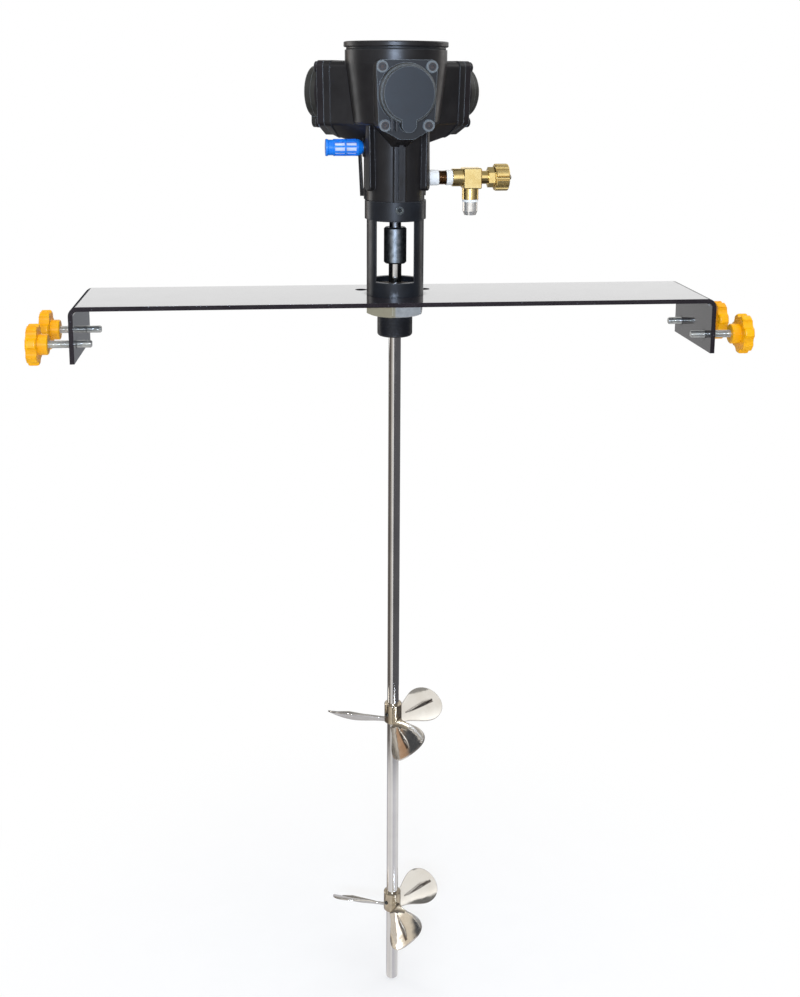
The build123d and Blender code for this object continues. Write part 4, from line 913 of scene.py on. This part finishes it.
@dataclass
class ScrewThread(RuleShape):
    """Threaded rod: a helical ridge of trapezoid section with chamfered ends."""

    segments: int = 40
    # The ridge's section has four points. Shares of the pitch: one flank, and the flat crest.
    steps: int = 4
    flank: float = 0.15
    crest: float = 0.35

    def shape(self, tree: Tree, given: bpy.types.Node) -> Socket:
        """Wrap a grid round the axis so that its rows follow the helix.

        Args:
            tree: The tree being built.
            given: Node that holds Radius, Depth, Pitch, Length and Chamfer.

        Returns:
            Geometry socket.
        """
        radius, depth, pitch, length, chamfer = [
            given.outputs[name] for name in ("Radius", "Depth", "Pitch", "Length", "Chamfer")]
        pitches = add(tree, MATH, {0: length, 1: pitch}, operation="DIVIDE")
        turns = add(tree, MATH, {0: pitches}, operation="CEIL")
        last = add(tree, MATH, {0: turns, 1: self.steps, 2: 2 * self.steps}, operation="MULTIPLY_ADD")
        rows = add(tree, MATH, {0: last, 1: 1.0}, operation="ADD")
        sheet, along, around = self.grid(tree, rows, self.segments + 1)
        scaled = add(tree, MATH, {0: along, 1: last}, operation="MULTIPLY")
        row = add(tree, MATH, {0: scaled}, operation="ROUND")
        phase = add(tree, MATH, {0: row, 1: self.steps}, operation="MODULO")
        whole = add(tree, MATH, {0: row, 1: phase}, operation="SUBTRACT")
        lap = add(tree, MATH, {0: whole, 1: self.steps}, operation="DIVIDE")
        on_crest = add(tree, MATH, {0: phase, 1: 1.5}, operation="GREATER_THAN")
        climb = add(tree, MATH, {0: phase, 1: self.flank, 2: lap}, operation="MULTIPLY_ADD")
        climb = add(tree, MATH, {0: on_crest, 1: self.crest - self.flank, 2: climb}, operation="MULTIPLY_ADD")
        begun = add(tree, MATH, {0: around, 1: 1.0}, operation="SUBTRACT")
        laps = add(tree, MATH, {0: climb, 1: begun}, operation="ADD")
        free = add(tree, MATH, {0: laps, 1: pitch}, operation="MULTIPLY")
        height = add(tree, "ShaderNodeClamp", {"Value": free, "Min": 0.0, "Max": length})
        root = add(tree, MATH, {0: radius, 1: depth}, operation="SUBTRACT")
        ridge = add(tree, MATH, {0: on_crest, 1: depth, 2: root}, operation="MULTIPLY_ADD")
        left = add(tree, MATH, {0: length, 1: height}, operation="SUBTRACT")
        from_end = add(tree, MATH, {0: height, 1: left}, operation="MINIMUM")
        tip = add(tree, MATH, {0: radius, 1: chamfer}, operation="SUBTRACT")
        cone = add(tree, MATH, {0: tip, 1: from_end}, operation="ADD")
        cut = add(tree, MATH, {0: ridge, 1: cone}, operation="MINIMUM")
        middle = add(tree, MATH, {0: last, 1: 0.5}, operation="MULTIPLY")
        inner = add(tree, MATH, {0: middle, 1: 0.5}, operation="SUBTRACT")
        wall = add(tree, MATH, {0: row, 1: middle, 2: inner}, operation="COMPARE")
        reach = add(tree, MATH, {0: cut, 1: wall}, operation="MULTIPLY")
        bent = self.wrapped(tree, sheet, reach, around, height)
        return add(tree, "GeometryNodeMergeByDistance", {"Geometry": bent, "Distance": WELD}).outputs[0]


@dataclass
class TapeWrap(RuleShape):
    """Sealing tape wound in a few laps, with slightly ragged edges."""

    sharp_deg: float = 50.0
    seed: float = 1.0
    steps_per_lap: int = 56
    columns: int = 11
    rumple: float = 0.8
    # Noise units that one lap is long, and the scales of its ragged edge and of its creases.
    lap_stretch: float = 3.0
    edge_scale: float = 2.3
    crease_scale: float = 7.0

    def shape(self, tree: Tree, given: bpy.types.Node) -> Socket:
        """Wind a grid round the axis, one layer over the other.

        Args:
            tree: The tree being built.
            given: Node that holds Radius, Growth, Taper, Width, Laps, Ragged and Film.

        Returns:
            Geometry socket.
        """
        radius, growth, taper, width, laps, ragged, film = [given.outputs[name] for name in (
            "Radius", "Growth", "Taper", "Width", "Laps", "Ragged", "Film")]
        rows = add(tree, MATH, {0: laps, 1: self.steps_per_lap, 2: 1.0}, operation="MULTIPLY_ADD")
        sheet, along, across = self.grid(tree, rows, self.columns)
        wound = add(tree, MATH, {0: along, 1: laps}, operation="MULTIPLY")
        side = add(tree, MATH, {0: across, 1: 0.5}, operation="SUBTRACT")
        stretched = add(tree, MATH, {0: wound, 1: self.lap_stretch}, operation="MULTIPLY")
        path = add(tree, "ShaderNodeCombineXYZ", {"X": stretched, "Y": side, "Z": self.seed})
        edge, crease = [add(tree, "ShaderNodeTexNoise", {
            "Vector": path, "Scale": scale, "Detail": detail})
            for scale, detail in ((self.edge_scale, 2.0), (self.crease_scale, 3.0))]
        off_edge = add(tree, MATH, {0: edge, 1: 0.5}, operation="SUBTRACT")
        wander = add(tree, MATH, {0: off_edge, 1: ragged}, operation="MULTIPLY")
        lean = add(tree, MATH, {0: side, 1: 2.0}, operation="MULTIPLY")
        outward = add(tree, MATH, {0: lean}, operation="ABSOLUTE")
        swing = add(tree, MATH, {0: wander, 1: outward}, operation="MULTIPLY")
        free = add(tree, MATH, {0: across, 1: width, 2: swing}, operation="MULTIPLY_ADD")
        height = add(tree, "ShaderNodeClamp", {"Value": free, "Min": 0.0, "Max": width})
        layer = add(tree, MATH, {0: wound, 1: growth, 2: radius}, operation="MULTIPLY_ADD")
        drop = add(tree, MATH, {0: across, 1: taper}, operation="MULTIPLY")
        cone = add(tree, MATH, {0: layer, 1: drop}, operation="SUBTRACT")
        fold = add(tree, MATH, {0: growth, 1: self.rumple}, operation="MULTIPLY")
        off_crease = add(tree, MATH, {0: crease, 1: 0.5}, operation="SUBTRACT")
        reach = add(tree, MATH, {0: off_crease, 1: fold, 2: cone}, operation="MULTIPLY_ADD")
        bent = self.wrapped(tree, sheet, reach, wound, height)
        thick = add(tree, "GeometryNodeExtrudeMesh", {
            "Mesh": bent, "Offset Scale": film, "Individual": False})
        back = add(tree, "GeometryNodeFlipFaces", {"Mesh": bent})
        both = add(tree, "GeometryNodeJoinGeometry")
        for part in (thick, back):
            tree.links.new(part.outputs["Mesh"], both.inputs[0])
        return add(tree, "GeometryNodeMergeByDistance", {"Geometry": both, "Distance": WELD}).outputs[0]


@dataclass
class RibRow(RuleShape):
    """A row of equal cast ribs."""

    def shape(self, tree: Tree, given: bpy.types.Node) -> Socket:
        """Repeat one rib along the row.

        Args:
            tree: The tree being built.
            given: Node that holds Count, Spacing, Width, Rise and Run.

        Returns:
            Geometry socket.
        """
        step = add(tree, "ShaderNodeCombineXYZ", {"Y": given.outputs["Spacing"]})
        row = add(tree, "GeometryNodeMeshLine", {"Count": given.outputs["Count"], "Offset": step})
        size = add(tree, "ShaderNodeCombineXYZ", {
            "X": given.outputs["Rise"], "Y": given.outputs["Width"], "Z": given.outputs["Run"]})
        rib = add(tree, "GeometryNodeMeshCube", {"Size": size})
        return add(tree, "GeometryNodeInstanceOnPoints", {"Points": row, "Instance": rib}).outputs[0]


def along_azimuth(azimuth: float, reach: float, height: float) -> Matrix:
    """Turn a shape built along +Z so that it points away from the shaft.

    Args:
        azimuth: Direction in degrees.
        reach: Distance of the shape's start from the shaft axis, in metres.
        height: Height of the shape's axis, in metres.

    Returns:
        Placement in the shared frame, the shape's +X side down.
    """
    return (Matrix.Rotation(math.radians(azimuth), 4, "Z") @ Matrix.Translation((reach, 0.0, height))
            @ Matrix.Rotation(math.radians(90), 4, "Y"))


# --- Sub-assemblies

@dataclass
class Bracket:
    """Strap, lock nut and the four thumb screws."""

    finishes: Finishes
    thread_pitch: float = 1.25 * MM
    thread_depth: float = 0.55 * MM
    stud_chamfer: float = 1.0 * MM

    def build(self) -> None:
        """Cut the threads of the four studs."""
        zinc = self.finishes.stud.material()
        for side, heading in (("left", -90.0), ("right", 90.0)):
            for depth in ("front", "back"):
                node = f"clamp_stud_{side}_{depth}"
                low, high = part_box(node)
                thread = ScrewThread(f"thread_{side}_{depth}", {
                    "Radius": (high.y - low.y) / 2, "Depth": self.thread_depth,
                    "Pitch": self.thread_pitch, "Length": high.x - low.x,
                    "Chamfer": self.stud_chamfer})
                tip = high.x if side == "left" else low.x
                place = (Matrix.Translation((tip, (low.y + high.y) / 2, (low.z + high.z) / 2))
                         @ Matrix.Rotation(math.radians(heading), 4, "Y"))
                settle(f"stud_thread_{side}_{depth}", thread.bake(zinc, place), node, "zinc_stud", node)

    def dress(self) -> None:
        """Paint the strap, plate the nut and colour the knobs."""
        dress(self.finishes.strap.material(), "mounting_plate")
        dress(self.finishes.nut.material(), "lock_nut")
        knobs = [f"clamp_knob_{side}_{depth}" for side in ("left", "right") for depth in ("front", "back")]
        dress(self.finishes.knob.material(), *knobs)


@dataclass
class Yoke:
    """Collar, windowed tube and threaded tail, and its bushes."""

    finishes: Finishes

    def dress(self) -> None:
        """Blacken the yoke and finish the bronze bushes."""
        dress(self.finishes.yoke.material(), "yoke")
        dress(self.finishes.bronze.material(), "guide_bushes", "output_bush", "valve_sleeve")


@dataclass
class AirMotor:
    """Casting, cylinder heads, cover and everything inside them."""

    finishes: Finishes
    rib_count: int = 2
    rib_spacing: float = 4.6 * MM
    rib_width: float = 2.2 * MM
    rib_rise: float = 9.0 * MM
    rib_run: float = 15.0 * MM
    rib_side: float = -15.2 * MM
    rib_reach: float = 77.5 * MM
    rib_height: float = 180.0 * MM

    def build(self) -> None:
        """Add the small ribs beside each head's lobe."""
        for name, azimuth in HEAD_AZIMUTHS.items():
            ribs = RibRow(f"ribs_{name}", {
                "Count": self.rib_count, "Spacing": self.rib_spacing, "Width": self.rib_width,
                "Rise": self.rib_rise, "Run": self.rib_run})
            place = (Matrix.Rotation(math.radians(azimuth), 4, "Z")
                     @ Matrix.Translation((self.rib_reach, self.rib_side, self.rib_height)))
            mesh = ribs.bake(self.finishes.casting.material(), place)
            settle(f"head_ribs_{name}", mesh, "stand", "black_casting")

    def dress(self) -> None:
        """Coat the casting and finish the screws and the inner pieces."""
        made = self.finishes
        dress(made.casting.material(), "motor_housing", "top_cover")
        for name, azimuth in HEAD_AZIMUTHS.items():
            dress(made.head(azimuth).material(), f"cylinder_head_{name}")
        dress(made.screws.material(), "collar_set_screws", "coupling_set_screws", "hub_set_screws")
        dress(made.cap_screws.material(), "head_screws", "cover_screws")
        dress(made.rubber.material(), "head_gaskets", "cover_seal", "shaft_seal", "valve_packing")
        dress(made.liner.material(), "cylinder_liners")
        dress(made.piston.material(), *[f"piston_{name}" for name in HEAD_AZIMUTHS])
        dress(made.iron.material(), *[f"piston_rings_{name}" for name in HEAD_AZIMUTHS])
        dress(made.forged.material(), "crankshaft", "rotary_valve",
              *[f"connecting_rod_{name}" for name in HEAD_AZIMUTHS])
        dress(made.bearing.material(), *[f"{end}_bearing_{ring}" for end in ("upper", "lower")
                                         for ring in ("outer", "inner")])


@dataclass
class Stirrer:
    """Coupling, shaft and the two propellers."""

    finishes: Finishes

    def dress(self) -> None:
        """Polish the shaft and its propellers."""
        dress(self.finishes.coupling.material(), "coupling")
        dress(self.finishes.shaft.material(), "agitator_shaft")
        dress(self.finishes.hub.material(), "upper_propeller_hub", "lower_propeller_hub")
        dress(self.finishes.blade.material(), "upper_propeller_blades", "lower_propeller_blades")


@dataclass
class Muffler:
    """Slotted shell and its porous element."""

    finishes: Finishes

    def dress(self) -> None:
        """Colour the shell and its element."""
        dress(self.finishes.muffler.material(), "muffler_body")
        dress(self.finishes.felt.material(), "muffler_core")


@dataclass(frozen=True)
class TapeLay:
    """How one wrap of tape lies, in millimetres."""

    name: str
    width: float
    growth: float
    seed: float
    start: float = 0.0
    taper: float = 0.0
    ragged: float = 1.6
    laps: float = 3.4
    film: float = 0.12
    clearance: float = 0.05

    def wrap(self, radius: float, material: bpy.types.Material, place: Matrix) -> bpy.types.Mesh:
        """Wind this wrap.

        Args:
            radius: Radius of what it is wound on, in metres.
            material: The tape's material.
            place: Where the wrap starts and which way it runs.

        Returns:
            Mesh in the shared frame.
        """
        sizes = {"Radius": self.clearance + self.taper, "Growth": self.growth, "Taper": self.taper,
                 "Width": self.width, "Ragged": self.ragged, "Film": self.film}
        values = {name: size * MM for name, size in sizes.items()}
        values["Radius"] += radius
        values["Laps"] = self.laps
        return TapeWrap(f"tape_{self.name}", values, seed=self.seed).bake(material, place)


@dataclass
class InletTrain:
    """Nipple, tape, tee, needle valve and hose fitting."""

    finishes: Finishes
    nipple_start: float = 22.0 * MM
    nipple_reach: float = 64.0 * MM
    pipe_pitch: float = 1.34 * MM
    pipe_depth: float = 0.6 * MM
    pipe_chamfer: float = 1.0 * MM
    nipple_wraps: tuple[TapeLay, ...] = (
        TapeLay("inner", 10.2, 0.15, 1.0, start=33.3, taper=0.3),
        TapeLay("outer", 6.3, 0.1, 2.0, start=51.5, taper=0.1))
    branch_wrap: TapeLay = TapeLay("branch", 2.5, 0.18, 5.0, ragged=1.0)

    def build(self) -> None:
        """Cut the nipple's thread and wind the tape."""
        low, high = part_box("inlet_nipple")
        radius, height = (high.z - low.z) / 2, (low.z + high.z) / 2
        thread = ScrewThread("pipe_thread", {
            "Radius": radius, "Depth": self.pipe_depth, "Pitch": self.pipe_pitch,
            "Length": self.nipple_reach - self.nipple_start, "Chamfer": self.pipe_chamfer})
        mesh = thread.bake(self.finishes.nipple.material(),
                           along_azimuth(INLET_AZIMUTH, self.nipple_start, height))
        settle("nipple_thread", mesh, "stand", "yellow_brass", "inlet_nipple")
        self.wind(radius, height)

    def wind(self, radius: float, height: float) -> None:
        """Wind the three tape wraps and join them into one piece.

        Args:
            radius: Radius of the nipple.
            height: Height of the inlet's axis.
        """
        white = self.finishes.tape.material()
        meshes = [lay.wrap(radius, white, along_azimuth(INLET_AZIMUTH, lay.start * MM, height))
                  for lay in self.nipple_wraps]
        tee_low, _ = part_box("inlet_tee")
        fit_low, fit_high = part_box("inlet_fitting")
        middle = (fit_low + fit_high) / 2
        place = Matrix.Translation((middle.x, middle.y, tee_low.z - self.branch_wrap.width * MM))
        meshes.append(self.branch_wrap.wrap((fit_high.x - fit_low.x) / 2, white, place))
        joined = bmesh.new()
        for mesh in meshes:
            joined.from_mesh(mesh)
        whole = bpy.data.meshes.new("tape_wraps")
        joined.to_mesh(whole)
        joined.free()
        whole.materials.append(white)
        whole.shade_smooth()
        settle("tape_wraps", whole, "stand", "white_tape", "thread_tape")

    def dress(self) -> None:
        """Finish the brass, the fitting and the stem."""
        dress(self.finishes.brass.material(), "inlet_tee")
        dress(self.finishes.brass_turned.material(), "valve_bonnet")
        dress(self.finishes.brass_cast.material(), "valve_knob")
        dress(self.finishes.nickel.material(), "inlet_fitting")
        dress(self.finishes.stem.material(), "valve_stem")


# --- Studio

@dataclass(frozen=True)
class Lamp:
    """One soft area lamp, aimed at a point. Metres and watts."""

    name: str
    place: tuple[float, float, float]
    aim: tuple[float, float, float]
    width: float
    height: float
    power: float
    colour: str = "#ffffff"
    mirrored: bool = True

    def build(self) -> None:
        """Put the lamp into the scene."""
        data = bpy.data.lights.new(self.name, "AREA")
        data.shape = "RECTANGLE"
        data.size, data.size_y = self.width, self.height
        data.energy = self.power
        data.color = linear(self.colour)[:3]
        lamp = link_object(bpy.data.objects.new(self.name, data))
        lamp.location = self.place
        lamp.rotation_euler = (Vector(self.aim) - Vector(self.place)).to_track_quat("-Z", "Y").to_euler()
        lamp.visible_camera = False
        lamp.visible_glossy = self.mirrored


@dataclass(frozen=True)
class Camera:
    """Camera a little above the strap, looking slightly down. Angles in degrees."""

    sensor_mm: float = 36.0
    lens_mm: float = 45.879
    shift_up: float = -0.19
    pan: float = 5.966
    tilt: float = 10.421
    roll: float = 0.307
    side: float = 5.27 * MM
    away: float = 1282.7 * MM
    height: float = 224.0 * MM

    def build(self) -> None:
        """Put the camera into the scene."""
        data = bpy.data.cameras.new("camera")
        data.sensor_width = self.sensor_mm
        data.lens = self.lens_mm
        data.shift_y = self.shift_up
        view = link_object(bpy.data.objects.new("camera", data))
        round_axis = Matrix.Rotation(-math.radians(self.pan), 4, "Z")
        view.matrix_world = (round_axis @ Matrix.Translation((self.side, -self.away, self.height))
                             @ Matrix.Rotation(math.radians(90 - self.tilt), 4, "X")
                             @ Matrix.Rotation(math.radians(self.roll), 4, "Z"))
        bpy.context.scene.camera = view


@dataclass
class Studio:
    """Pale floor, white surroundings, soft lamps, cards for polished metal to mirror, and the camera."""

    floor_gap: float = 0.002
    floor_half: float = 14.0
    floor_tones: tuple[str, str] = ("#f2f2f2", "#ececec")
    floor_grain_mm: float = 40.0
    # The floor turns white between these distances, from this share of white.
    white_from: float = 0.1
    white_to: float = 0.6
    white_least: float = 0.55
    # Where the near cards end, and how wide their blend into the wall's is.
    near_floor: float = 0.45
    near_blend: float = 0.08
    fill: float = 0.55
    # Strength of the sky overhead in gloss, and the sines of the heights between which it sinks to that.
    overhead: float = 0.3
    sky_from: float = 0.45
    sky_to: float = 0.7
    # Wall of cards: its radius, its parts, its top at the back, and the tops of its other ranges in
    # degrees from the front.
    ring_radius: float = 3.0
    ring_steps: int = 96
    ring_back_top: float = 0.31
    ring_tops: tuple[tuple[float, float, float], ...] = ((-158, -136, 2.1), (-140, 134, 1.3))
    # Heights at which the wall's next rows of shades begin, and half the width of each blend.
    high_split: tuple[float, float] = (-0.45, 0.02)
    top_split: tuple[float, float] = (0.8, 0.06)
    lamps: tuple[Lamp, ...] = (
        Lamp("window", (-0.2, -1.5, 0.262), (0, 0, 0.24), 0.42, 0.08, 15.0, "#cfe2ff"),
        Lamp("high", (1.25, 0.31, 0.8), (0, 0, -0.45), 1.4, 1.0, 3.0),
        Lamp("ceiling", (0.2, -0.6, 2.3), (0, 0, 0), 2.6, 2.6, 44.0, mirrored=False),
        Lamp("left", (-1.35, 0.93, 0.2), (0, 0, 0.1), 0.6, 1.2, 5.0),
        Lamp("right", (1.5, 0.95, 0.25), (0, 0, 0.1), 0.5, 1.0, 2.5, "#fffaf6"),
        Lamp("back", (0.0, 2.6, 0.47), (0, 0, 0), 2.8, 0.66, 0.8))
    # Shade of the cards by degrees from the front: on the near floor, and on the wall from low to top.
    near_shades: Shades = (
        (-180, "#c4c4c8"), (-128, "#bcbcc4"), (-112, "#f6f4f4"), (-40, "#f0eeee"), (-25, "#ffffff"),
        (-10, "#ffffff"), (5, "#dadae2"), (70, "#eeeef2"), (110, "#f8f8f8"), (140, "#ccccd0"),
        (180, "#c4c4c8"))
    low_shades: Shades = (
        (-180, "#b3b3b3"), (-150, "#bcbcbc"), (-146, "#6c6662"), (-70, "#6a645f"), (-62, "#d6d1ca"),
        (-42, "#cfcac2"), (-38, "#ffffff"), (-17, "#ffffff"), (-15, "#5c5c60"), (150, "#66666a"),
        (160, "#7c7e82"), (180, "#808286"))
    high_shades: Shades = (
        (-180, "#bcbcbc"), (-168, "#bcbcbc"), (-164, "#1c2028"), (-151, "#22262e"), (-147, "#6a5644"),
        (-144, "#a8805c"), (-141, "#c09a78"), (-139, "#e0d2c0"), (-132, "#e6dccc"), (-128, "#6c6c6c"),
        (-92, "#6c6c6c"), (-86, "#959595"), (-42, "#a0a0a0"), (-36, "#ffffff"), (20, "#ffffff"),
        (24, "#bcbcbc"), (50, "#a0a0a0"), (56, "#616161"), (150, "#616161"), (160, "#bcbcbc"),
        (180, "#bcbcbc"))
    top_shades: Shades = (
        (-160, "#1c2028"), (-144, "#181c26"), (-141, "#e6dccc"), (-128, "#e6dccc"), (-120, "#6c6c6c"),
        (-92, "#6c6c6c"), (-86, "#959595"), (-36, "#ffffff"), (20, "#ffffff"), (50, "#a0a0a0"),
        (56, "#616161"), (150, "#616161"), (180, "#bcbcbc"))

    def build(self) -> None:
        """Build the whole studio."""
        bpy.context.scene.view_settings.view_transform = "Standard"
        low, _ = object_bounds()
        self.world()
        self.floor(low.z - self.floor_gap)
        self.ring(low.z - self.floor_gap)
        for lamp in self.lamps:
            lamp.build()
        Camera().build()
        LOG.info("built the studio")

    def world(self) -> None:
        """White surroundings for the eye and for gloss, a softer fill for the rest."""
        world = bpy.data.worlds.new("studio")
        bpy.context.scene.world = world
        world.use_nodes = True
        tree = world.node_tree
        tree.nodes.clear()
        ray = add(tree, "ShaderNodeLightPath").outputs
        seen = add(tree, MATH, {0: ray["Is Camera Ray"], 1: ray["Is Glossy Ray"]}, operation="MAXIMUM")
        seen = add(tree, MATH, {0: seen, 1: ray["Is Transmission Ray"]}, operation="MAXIMUM")
        axes = add(tree, "ShaderNodeSeparateXYZ", {
            "Vector": add(tree, "ShaderNodeTexCoord").outputs["Generated"]}).outputs
        above = add(tree, "ShaderNodeMapRange", {
            "Value": axes["Z"], "From Min": self.sky_from, "From Max": self.sky_to,
            "To Min": 1.0, "To Max": self.overhead}, interpolation_type="SMOOTHSTEP")
        dimmed = add(tree, MATH, {0: above, 1: ray["Is Camera Ray"]}, operation="MAXIMUM")
        strength = add(tree, "ShaderNodeMix", {
            MIX_FACTOR: seen, MIX_LOW: self.fill, MIX_HIGH: dimmed})
        sky = add(tree, "ShaderNodeBackground", {"Color": linear("#ffffff"), "Strength": strength})
        add(tree, "ShaderNodeOutputWorld", {"Surface": sky})

    def floor(self, height: float) -> None:
        """Pale floor that fades to white away from the object.

        Args:
            height: Height of the floor.
        """
        made, tree = empty_material("floor_pale")
        ray = add(tree, "ShaderNodeLightPath").outputs
        place = add(tree, "ShaderNodeTexCoord").outputs["Object"]
        flat = add(tree, "ShaderNodeVectorMath", {0: place, 1: (1.0, 1.0, 0.0)}, operation="MULTIPLY")
        away = add(tree, "ShaderNodeVectorMath", {0: flat}, operation="LENGTH").outputs["Value"]
        fade = add(tree, "ShaderNodeMapRange", {
            "Value": away, "From Min": self.white_from, "From Max": self.white_to,
            "To Min": self.white_least, "To Max": 1.0}, interpolation_type="SMOOTHSTEP")
        white = add(tree, MATH, {0: ray["Is Camera Ray"], 1: fade}, operation="MULTIPLY")
        grain = add(tree, "ShaderNodeTexNoise", {"Vector": place, "Scale": per_metre(self.floor_grain_mm)})
        tone = add(tree, "ShaderNodeMix", {
            MIX_FACTOR: grain, MIX_A: linear(self.floor_tones[0]), MIX_B: linear(self.floor_tones[1])},
            data_type="RGBA").outputs[MIX_RESULT]
        matt = add(tree, "ShaderNodeBsdfDiffuse", {"Color": tone})
        glow = add(tree, "ShaderNodeEmission", {"Color": linear("#ffffff"), "Strength": 1.0})
        lit = add(tree, "ShaderNodeMixShader", {0: white, 1: matt, 2: glow})
        far = add(tree, "ShaderNodeMapRange", {
            "Value": away, "From Min": self.near_floor,
            "From Max": self.near_floor + self.near_blend})
        card = add(tree, "ShaderNodeMix", {
            MIX_FACTOR: far, MIX_A: self.cards(tree, place, self.near_shades),
            MIX_B: self.cards(tree, place, self.low_shades)}, data_type="RGBA").outputs[MIX_RESULT]
        mirrored = add(tree, "ShaderNodeEmission", {"Color": card})
        both = add(tree, "ShaderNodeMixShader", {0: ray["Is Glossy Ray"], 1: lit, 2: mirrored})
        add(tree, "ShaderNodeOutputMaterial", {"Surface": both})
        half = self.floor_half
        mesh = bpy.data.meshes.new("floor")
        mesh.from_pydata([(x * half, y * half, height) for x, y in ((-1, -1), (1, -1), (1, 1), (-1, 1))],
                         [], [(0, 1, 2, 3)])
        mesh.materials.append(made)
        link_object(bpy.data.objects.new("floor", mesh))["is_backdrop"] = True

    def cards(self, tree: Tree, place: Socket, shades: Shades) -> Socket:
        """Shade of the studio cards in each direction round the object.

        Args:
            tree: The material's node tree.
            place: Point whose direction counts.
            shades: Pairs of degrees from the front and colour.

        Returns:
            Colour socket.
        """
        axes = add(tree, "ShaderNodeSeparateXYZ", {"Vector": place}).outputs
        front = add(tree, MATH, {0: axes["Y"], 1: -1.0}, operation="MULTIPLY")
        around = add(tree, MATH, {0: axes["X"], 1: front}, operation="ARCTAN2")
        share = add(tree, "ShaderNodeMapRange", {
            "Value": around, "From Min": -math.pi, "From Max": math.pi})
        ramp = add(tree, "ShaderNodeValToRGB", {"Fac": share})
        stops = ramp.color_ramp.elements
        while len(stops) < len(shades):
            stops.new(0.5)
        for stop, (degrees, shade) in zip(stops, shades):
            stop.position = (degrees + 180.0) / 360.0
            stop.color = linear(shade)
        return ramp.outputs["Color"]

    def ring(self, bottom: float) -> None:
        """Wall of dark and pale cards that only shining surfaces mirror.

        Args:
            bottom: Height of the wall's foot.
        """
        made, tree = empty_material("studio_cards")
        place = add(tree, "ShaderNodeTexCoord").outputs["Object"]
        height = add(tree, "ShaderNodeSeparateXYZ", {"Vector": place}).outputs["Z"]
        shade = self.cards(tree, place, self.low_shades)
        for (split, soft), shades in ((self.high_split, self.high_shades),
                                      (self.top_split, self.top_shades)):
            upper = add(tree, "ShaderNodeMapRange", {
                "Value": height, "From Min": split - soft, "From Max": split + soft})
            shade = add(tree, "ShaderNodeMix", {
                MIX_FACTOR: upper, MIX_A: shade, MIX_B: self.cards(tree, place, shades)},
                data_type="RGBA").outputs[MIX_RESULT]
        glow = add(tree, "ShaderNodeEmission", {"Color": shade, "Strength": 1.0})
        add(tree, "ShaderNodeOutputMaterial", {"Surface": glow})
        points = []
        for step in range(self.ring_steps):
            turn = math.remainder(math.tau * step / self.ring_steps, math.tau)
            tops = [top for start, end, top in self.ring_tops if start < math.degrees(turn) < end]
            points += [(self.ring_radius * math.sin(turn), -self.ring_radius * math.cos(turn), z)
                       for z in (bottom, (tops or [self.ring_back_top])[0])]
        count = len(points)
        faces = [(i, (i + 2) % count, (i + 3) % count, i + 1) for i in range(0, count, 2)]
        mesh = bpy.data.meshes.new("studio_cards")
        mesh.from_pydata(points, [], faces)
        mesh.materials.append(made)
        wall = link_object(bpy.data.objects.new("studio_cards", mesh))
        wall.visible_camera = wall.visible_diffuse = wall.visible_shadow = False
        wall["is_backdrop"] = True


def main() -> None:
    """Build and dress the agitator, then its studio."""
    logging.basicConfig(level=logging.INFO, format="%(name)s: %(message)s")
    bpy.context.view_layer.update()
    finishes = Finishes()
    bracket = Bracket(finishes)
    bracket.build()
    bracket.dress()
    Yoke(finishes).dress()
    motor = AirMotor(finishes)
    motor.build()
    motor.dress()
    Stirrer(finishes).dress()
    Muffler(finishes).dress()
    inlet = InletTrain(finishes)
    inlet.build()
    inlet.dress()
    Studio().build()


if __name__ == "__main__":
    main()
